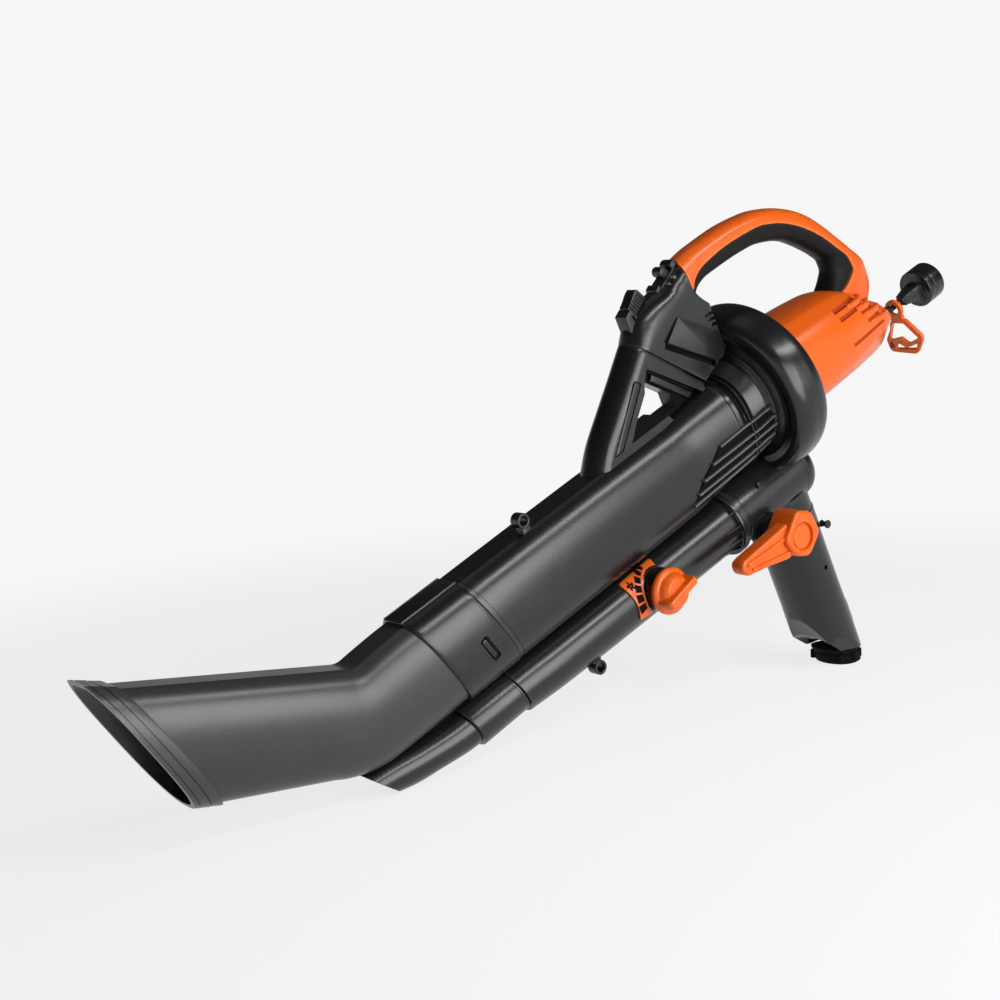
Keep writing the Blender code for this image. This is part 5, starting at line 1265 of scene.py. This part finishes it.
def cordEnd():
    # ball, sleeve and bell are profiles turned about the cord's line
    w, cord = plug["w"], plug["cord"]
    t = np.linspace(0.0, math.pi, 16)
    ball = [(0.0008, 0.0)] + [(0.0044 + 0.0041 * math.sin(x), 0.0052 - 0.005 * math.cos(x)) for x in t]
    ball += [(r, x) for r, x in millimetres(plug["neck"])]
    makePiece("strain_relief_ball", [spun(ball, facing("rear", (plug["ballU"], 0.0, w)), 64)], "satinBlack",
              stands="strain_relief")
    place = facing("rear", (0.0, 0.0, w))
    sleeve = turned([(0.0008, 0.589), (cord, 0.589), (cord, 0.669), (0.0008, 0.669)], place, 48)
    makePiece("pigtail_sleeve", [sleeve], "gripRubber", stands="pigtail_cord")
    parts = [turned(millimetres(plug["bell"]), place, 96)]

    def block(rows, steps=1):
        # rows of (u, half width, half height)
        u, wide, high = np.asarray(rows, float).T
        table = np.stack([u, 0 * u + w, 0 * u, wide, high, high], 1)
        return skin(sections(between(table, steps), 5.0, sides=48))

    # the tapered grip block between the cord and the bell, with three ribs
    parts.append(block(millimetres(plug["grip"]), 5))
    for u in plug["ribs"]:
        size = float(np.interp(u, [0.64, 0.672], [0.007, 0.0124]))
        parts.append(block([(u - 0.0011, size, size * 0.92), (u + 0.0011, size, size * 0.92)]))
    edge = makePiece("plug_body", parts, "charcoal", stands="plug").modifiers.new("edge", "BEVEL")
    edge.width, edge.segments, edge.limit_method, edge.angle_limit = 0.0005, 2, "ANGLE", math.radians(40)
    edge.harden_normals, edge.use_clamp_overlap = True, True


cordEnd()

hook = {
    "u": 0.6245, "half": 0.0025, "centre": -0.0205, "outer": 0.012, "hole": 0.007,
    "frame": ((-13, -34), (-31, -55.5), (-30, -62), (-19, -78), (-14, -80.5), (20, -78), (23.5, -74),
              (24.5, -61), (14, -47), (11, -36.5)),
    "window": ((8, -38.6), (11, -45.6), (20, -62.6), (2, -58.6), (-7, -66.6), (-25, -58.6), (-12, -42.6),
               (-9, -38.6)),
    "lower": ((13, -70.5), (6, -66.5), (-2, -72), (-10, -70), (-21, -66), (-17, -74), (14, -74)),
}


def arcPoints(centre, radius, start, end, count):
    # points on a circle from one angle to another, in degrees
    a = np.radians(np.linspace(start, end, count))
    return np.stack([centre[0] + radius * np.cos(a), centre[1] + radius * np.sin(a)], 1)


def cordHook():
    # a slab whose outline is an arc round the neck and a frame under it, with three holes
    place, half, middle = facing("rear", (hook["u"], 0.0, 0.0)), hook["half"], (0, hook["centre"])
    outline = rounded(hook["frame"], 0.003, 4)
    outer = np.concatenate([arcPoints(middle, hook["outer"], -35, 215, 40), outline])
    piece = makePiece("cord_hook_loop", [slab(outer, -half, half, place, 0.0009)], "orange", "hook",
                      "cord_hook")
    holes = (arcPoints(middle, hook["hole"], 0, 345, 24), rounded(hook["window"], 0.0016, 4),
             rounded(hook["lower"], 0.001, 4))
    carve(piece, [crisp(hole, -0.01, 0.01, place) for hole in holes])


cordHook()

# Controls

lever = {
    "at": (0.29, -0.124), "back": 0.05, "face": 0.085,
    "hub": ((3, 29.5), (23, 17), (25.5, -11), (0, -27.5), (-19, -17), (-27.5, 8)),
    "arm": ((-10, 20.5), (-40, 20), (-84, 19.5), (-91, 17), (-92.5, 8), (-88, 1), (-60, -6), (-24, -17),
            (4, -12)),
    "ridges": (((-84, 13.2), (-22, 8.5)), ((-80, 4.6), (-22, -9.5))),
    "recess": (-1.5, -1.0), "recessRadius": 0.0158, "armBack": 0.06, "armFace": 0.0785,
}


def modeLever():
    # hub and arm are slabs with round rims, joined into one
    (u, w), face, top = lever["at"], lever["face"], lever["armFace"]
    place = facing("near", (u, 0.0, w))
    foot = slab(rounded(lever["hub"], 0.0075, 8), lever["back"], face, place, 0.0034, 8)
    bar = slab(rounded(lever["arm"], 0.0045, 6), lever["armBack"], top, place, 0.003, 7)
    piece = makePiece("mode_lever_skin", [foot], "orange", "mode_control", sharp=30)
    carve(piece, [bar], "UNION", 30)
    # a dish with a groove round it
    du, dw = millimetres(lever["recess"])
    r = lever["recessRadius"]
    dish = [(0.0001, face - 0.0022), (r - 0.003, face - 0.0022), (r - 0.0026, face - 0.004),
            (r - 0.0006, face - 0.004), (r, face - 0.0032), (r + 0.0006, face + 0.004),
            (0.0001, face + 0.004)]
    carve(piece, [spun(dish, facing("near", (u + du, 0.0, w + dw)), 64)], sharp=30)
    ridges = []
    for a, b in millimetres(lever["ridges"]):
        # a straight ridge, a little higher in its middle
        t = np.linspace(0, 1, 14)
        line = a + (b - a) * t[:, None]
        path = np.stack([u + line[:, 0], -(top + 0.0004 * np.sin(t * math.pi)), w + line[:, 1]], 1)
        side = np.array([a[1] - b[1], 0.0, b[0] - a[0]])
        ridges.append(rail(path, side / np.linalg.norm(side), (0, -1, 0), 0.0036, 0.004))
    makePiece("lever_ridges", ridges, "orange", "mode_control")


modeLever()

# the scale's edge is (along, up) from the dial's middle, a block (angle, angle, how wide), and profiles and
# the crest (radius or along, out), in degrees and millimetres
dial = {"u": 0.123, "pitch": math.radians(9.0),
        "blocks": ((98, 106, 3.4), (110, 120, 4.4), (124, 136, 5.6), (140, 153, 7.0), (157, 171, 8.4),
                   (175, 190, 9.8)), "blocksFrom": 28.6,
        "scale": ((10.8, 29.7), (-39.7, 29.1), (-37.8, 8.0), (-40.5, -12.8), (-20.8, -15.7)),
        "scaleRound": (0, 2.4, 18.0, 2.0, 0), "scaleInner": 26.2,
        "fan": (-31.6, 23.6), "fanBlade": 4.6,
        "crest": ((-23.5, 47), (23.5, 47), (23.8, 63), (21.5, 66), (-20.5, 66), (-23.2, 62)),
        "disc": ((1, 41.5), (24.9, 41.5), (25.5, 42.3), (25.5, 45.8), (23.3, 48), (20.5, 49), (18.5, 54),
                 (15, 57.5), (1, 59)),
        "base": ((1, 24), (23.5, 24), (24.2, 40.3), (23.5, 41.2), (1, 41.2))}


def onBlow(u, w, lift):
    # the blow tube's near side at (u, w), raised by a lift
    middle, radius = blowAxis(u)
    return np.stack([u, -np.sqrt(np.maximum((radius + lift) ** 2 - (w - middle) ** 2, 1e-6)), w], -1)


def blowPatch(angles, inner, outer, low, high, count=10):
    # polar patch about the dial's middle, laid on the blow tube and given thickness from low to high
    w0 = float(blowAxis(dial["u"])[0])
    a = np.radians(np.asarray(angles, float))
    share = np.linspace(0, 1, count)
    r = np.asarray(inner)[:, None] * (1 - share) + np.asarray(outer)[:, None] * share
    u, w = dial["u"] + r * np.cos(a)[:, None], w0 + r * np.sin(a)[:, None]
    loop = np.concatenate([onBlow(u, w, high), onBlow(u, w, low)[:, ::-1]], 1)
    return skin(loop)


def airflowDial():
    # a turned disc joined with a crest across it, over a turned base
    u, w = dial["u"], float(blowAxis(dial["u"])[0])
    place = facing("near", (u, 0.0, w), dial["pitch"])
    disc = turned(millimetres(dial["disc"]), place, 96, 0.001, 5)
    knob = makePiece("airflow_dial_skin", [disc], "orange", "air_control", sharp=30)
    origin, across, up, out = place
    crest = rounded(dial["crest"], 0.0022, 5)
    carve(knob, [slab(crest, -0.0045, 0.0045, [origin, across, out, up], 0.0018, 5)], "UNION", 30)
    makePiece("dial_base_skin", [turned(millimetres(dial["base"]), place, 80)], "satinBlack")
    # the scale's edge as angles and radii about the dial's middle
    edge = softened(dial["scale"], dial["scaleRound"], 8, False)
    knots = distances(edge)
    edge = np.stack([np.interp(np.linspace(0, knots[-1], 90), knots, edge[:, k]) for k in (0, 1)], 1)
    turn, far = np.degrees(np.arctan2(edge[:, 1], edge[:, 0])) % 360, np.linalg.norm(edge, axis=1) * 0.001
    scale = blowPatch(turn, np.full(90, dial["scaleInner"] * 0.001), far, 0.0003, 0.002, 16)
    makePiece("dial_scale_skin", [scale], "orange", stands="dial_scale_plate")
    start = dial["blocksFrom"] * 0.001
    marks = [blowPatch(np.linspace(a, b, 12), np.full(12, start), np.full(12, start + wide * 0.001),
                       0.0012, 0.0023) for a, b, wide in dial["blocks"]]
    fanU, fanW = u + dial["fan"][0] * 0.001, w + dial["fan"][1] * 0.001
    t = np.linspace(0, 2 * math.pi, 29)[:-1]
    long = dial["fanBlade"] * 0.001
    x, z = long * (0.55 + 0.45 * np.cos(t)), long * (0.26 * np.sin(t) + 0.2 * np.cos(t) ** 2)
    for a in np.radians(72 * np.arange(5) + 12):
        # a small fan: five blades bent to one side, each an ellipse from the middle outwards
        uu, ww = fanU + x * math.cos(a) - z * math.sin(a), fanW + x * math.sin(a) + z * math.cos(a)
        marks.append(skin(np.stack([onBlow(uu, ww, 0.0023), onBlow(uu, ww, 0.0012)])))
    makePiece("dial_scale_marks", marks, "deepBlackAndPaintedShade")


airflowDial()
print("controls made")

# Strap eyes, stud and what stays as it is in the frame

# each eye's u, its w and the w of the skin that its foot stands on
eyes = {"strap_eye_top": (0.003, 0.065, 0.0515), "strap_eye_lower": (0.02, -0.127, -0.115)}
stud = ((0.8, 0), (4.5, 0), (3, 3), (3, 7), (5, 9), (4.6, 10.8), (0.8, 11))


def strapFittings():
    # each eye is a turned ring on a slab that widens towards its foot
    ring = softened([(0.0048, 0.0), (0.008, 0.0), (0.008, 0.013), (0.0048, 0.013)], 0.0012, 5)
    for name, (u, w, foot) in eyes.items():
        place = facing("near", (u, -0.008, w))
        rise = foot - w
        pad = [(-0.0066, 0.0), (0.0066, 0.0), (0.0046, abs(rise) - 0.0058), (-0.0046, abs(rise) - 0.0058)]
        flat = softened(pad, 0.0012, 5) * (1, -1 if rise > 0 else 1) + (0.0, rise)
        makePiece(name + "_loop", [spun(ring, place, 48, True), slab(flat, 0.0012, 0.0118, place, 0.001)],
                  "satinBlack", stands=name)
    # the corners of the stud are softened twice
    profile = rounded(stud, 0.0006, 4, False)
    place = facing("near", (port["u"] + 0.0292, -0.0262, -0.168))
    makePiece("strap_stud_knob", [turned(profile, place, 40)], "satinBlack", stands="strap_stud")


strapFittings()

kept = {"steel": ("fan_shaft", "front_bearing", "rear_bearing", "stator", "lever_shaft", "damper_shaft",
                  "bag_latch_pin"),
        "copper": ("armature", "commutator"), "brass": ("plug_blade_near", "plug_blade_far"),
        "carbon": ("brush_near", "brush_far"),
        "satinBlack": ("impeller", "cooling_fan", "motor_bulkhead", "motor_bracket", "switch_body",
                       "diverter_flap", "damper_disc", "bag_latch", "screw_diverter")}
for coat, names in kept.items():
    for name in names:
        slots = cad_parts[name].data.materials
        slots.clear()
        slots.append(finish[coat])

for name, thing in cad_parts.items():
    if not thing.hide_render and not any(name in names for names in kept.values()):
        print("still plain:", name)

# Floor, background and light

studio = {"paper": 0.93, "floorRadius": 6.0, "worldLight": 0.14, "fade": (0.75, 1.55), "floorWhite": 0.8,
          "floorColour": 0.9, "floorRough": 0.9, "floorSpecular": 0.1, "floorGlow": 0.975, "ceiling": 0.05,
          "ceilingFrom": (-0.04, 0.3)}


def shownRays(tree):
    # one for rays of the camera, of reflections and of glass, none for the light itself
    rays = node(tree, "ShaderNodeLightPath").outputs
    seen = maths(tree, "MAXIMUM", rays["Is Camera Ray"], rays["Is Glossy Ray"])
    return maths(tree, "MAXIMUM", seen, rays["Is Transmission Ray"])


def mixShaders(tree, factor, a, b):
    return node(tree, "ShaderNodeMixShader", {0: factor, 1: a.outputs[0], 2: b.outputs[0]})


def makeFloor():
    # a disc on the ground whose rim fades into the background
    t = np.arange(96) * 2 * math.pi / 96
    ring = np.stack([np.cos(t), np.sin(t), 0 * t], 1) * studio["floorRadius"]
    mesh = bpy.data.meshes.new("floor")
    mesh.from_pydata(ring.tolist(), [], [list(range(96))])
    paper = bpy.data.materials.new("paper")
    paper.use_nodes = True
    tree = paper.node_tree
    shader = tree.nodes["Principled BSDF"]
    shade = studio["floorColour"]
    for label, value in (("Base Color", (shade, shade, shade, 1.0)), ("Roughness", studio["floorRough"]),
                         ("Specular IOR Level", studio["floorSpecular"])):
        feed(tree, shader.inputs[label], value)
    place = node(tree, "ShaderNodeTexCoord").outputs["Object"]
    length = node(tree, "ShaderNodeVectorMath", {0: place}, operation="LENGTH").outputs["Value"]
    rim = ranged(tree, length, *studio["fade"], 1.0, 0.0, interpolation_type="SMOOTHSTEP")
    # part of what is seen is the paper's own white, so that only a soft shadow is left on it
    white = node(tree, "ShaderNodeEmission", {"Color": (1, 1, 1, 1), "Strength": studio["floorGlow"]})
    part = mixShaders(tree, maths(tree, "MULTIPLY", shownRays(tree), studio["floorWhite"]), shader, white)
    fade = mixShaders(tree, rim, node(tree, "ShaderNodeBsdfTransparent"), part)
    feed(tree, tree.nodes["Material Output"].inputs["Surface"], fade.outputs[0])
    mesh.materials.append(paper)
    floor = addObject("floor", mesh)


makeFloor()


def makeWorld():
    # the camera sees the paper's white; reflections see it too, up to a dark ceiling; the rest is a plain
    # level of light
    world = bpy.data.worlds.new("studio")
    bpy.context.scene.world = world
    world.use_nodes = True
    tree = world.node_tree
    tree.nodes.clear()
    way = node(tree, "ShaderNodeTexCoord").outputs["Generated"]
    up = node(tree, "ShaderNodeSeparateXYZ", {0: way}).outputs["Z"]
    sky = ranged(tree, up, *studio["ceilingFrom"], studio["paper"], studio["ceiling"],
                 interpolation_type="SMOOTHSTEP")
    rays = node(tree, "ShaderNodeLightPath")
    level = node(tree, "ShaderNodeMix", {"Factor": rays.outputs["Is Camera Ray"], "A": sky,
                                         "B": studio["paper"]}, data_type="FLOAT").outputs["Result"]
    light, paper = (node(tree, "ShaderNodeBackground", {"Color": (1, 1, 1, 1), "Strength": strength})
                    for strength in (studio["worldLight"], level))
    mix = mixShaders(tree, shownRays(tree), light, paper)
    node(tree, "ShaderNodeOutputWorld", {"Surface": mix.outputs[0]})


makeWorld()

lamps = {"front panel": {"place": (1.15, -2.2, 0.85), "aim": (0.0, 0.0, 0.25), "size": (1.4, 1.0),
                         "power": 8.5},
         "nozzle panel": {"place": (0.12, -1.4, 0.36), "aim": (-0.45, 0.0, 0.2), "size": (1.0, 0.95),
                          "power": 16},
         "shoulder strip": {"place": (0.55, -1.5, 1.7), "aim": (0.05, 0.0, 0.3), "size": (1.6, 0.22),
                            "power": 18},
         "overhead": {"place": (-0.1, 0.3, 2.6), "aim": (0.0, 0.0, 0.2), "size": (1.6, 1.2), "power": 2}}


def makeLamps():
    # panels of light, each aimed at a point
    for name, say in lamps.items():
        data = bpy.data.lights.new(name, "AREA")
        data.shape = "RECTANGLE"
        data.size, data.size_y = say["size"]
        data.energy = say["power"]
        lamp = addObject(name, data)
        lamp.rotation_mode = "QUATERNION"
        lamp.rotation_quaternion = (Vector(say["aim"]) - Vector(say["place"])).to_track_quat("-Z", "Y")
        lamp.location = say["place"]
        lamp.visible_camera = False


makeLamps()
bpy.context.scene.view_settings.view_transform = "Standard"
print("floor and lights made")
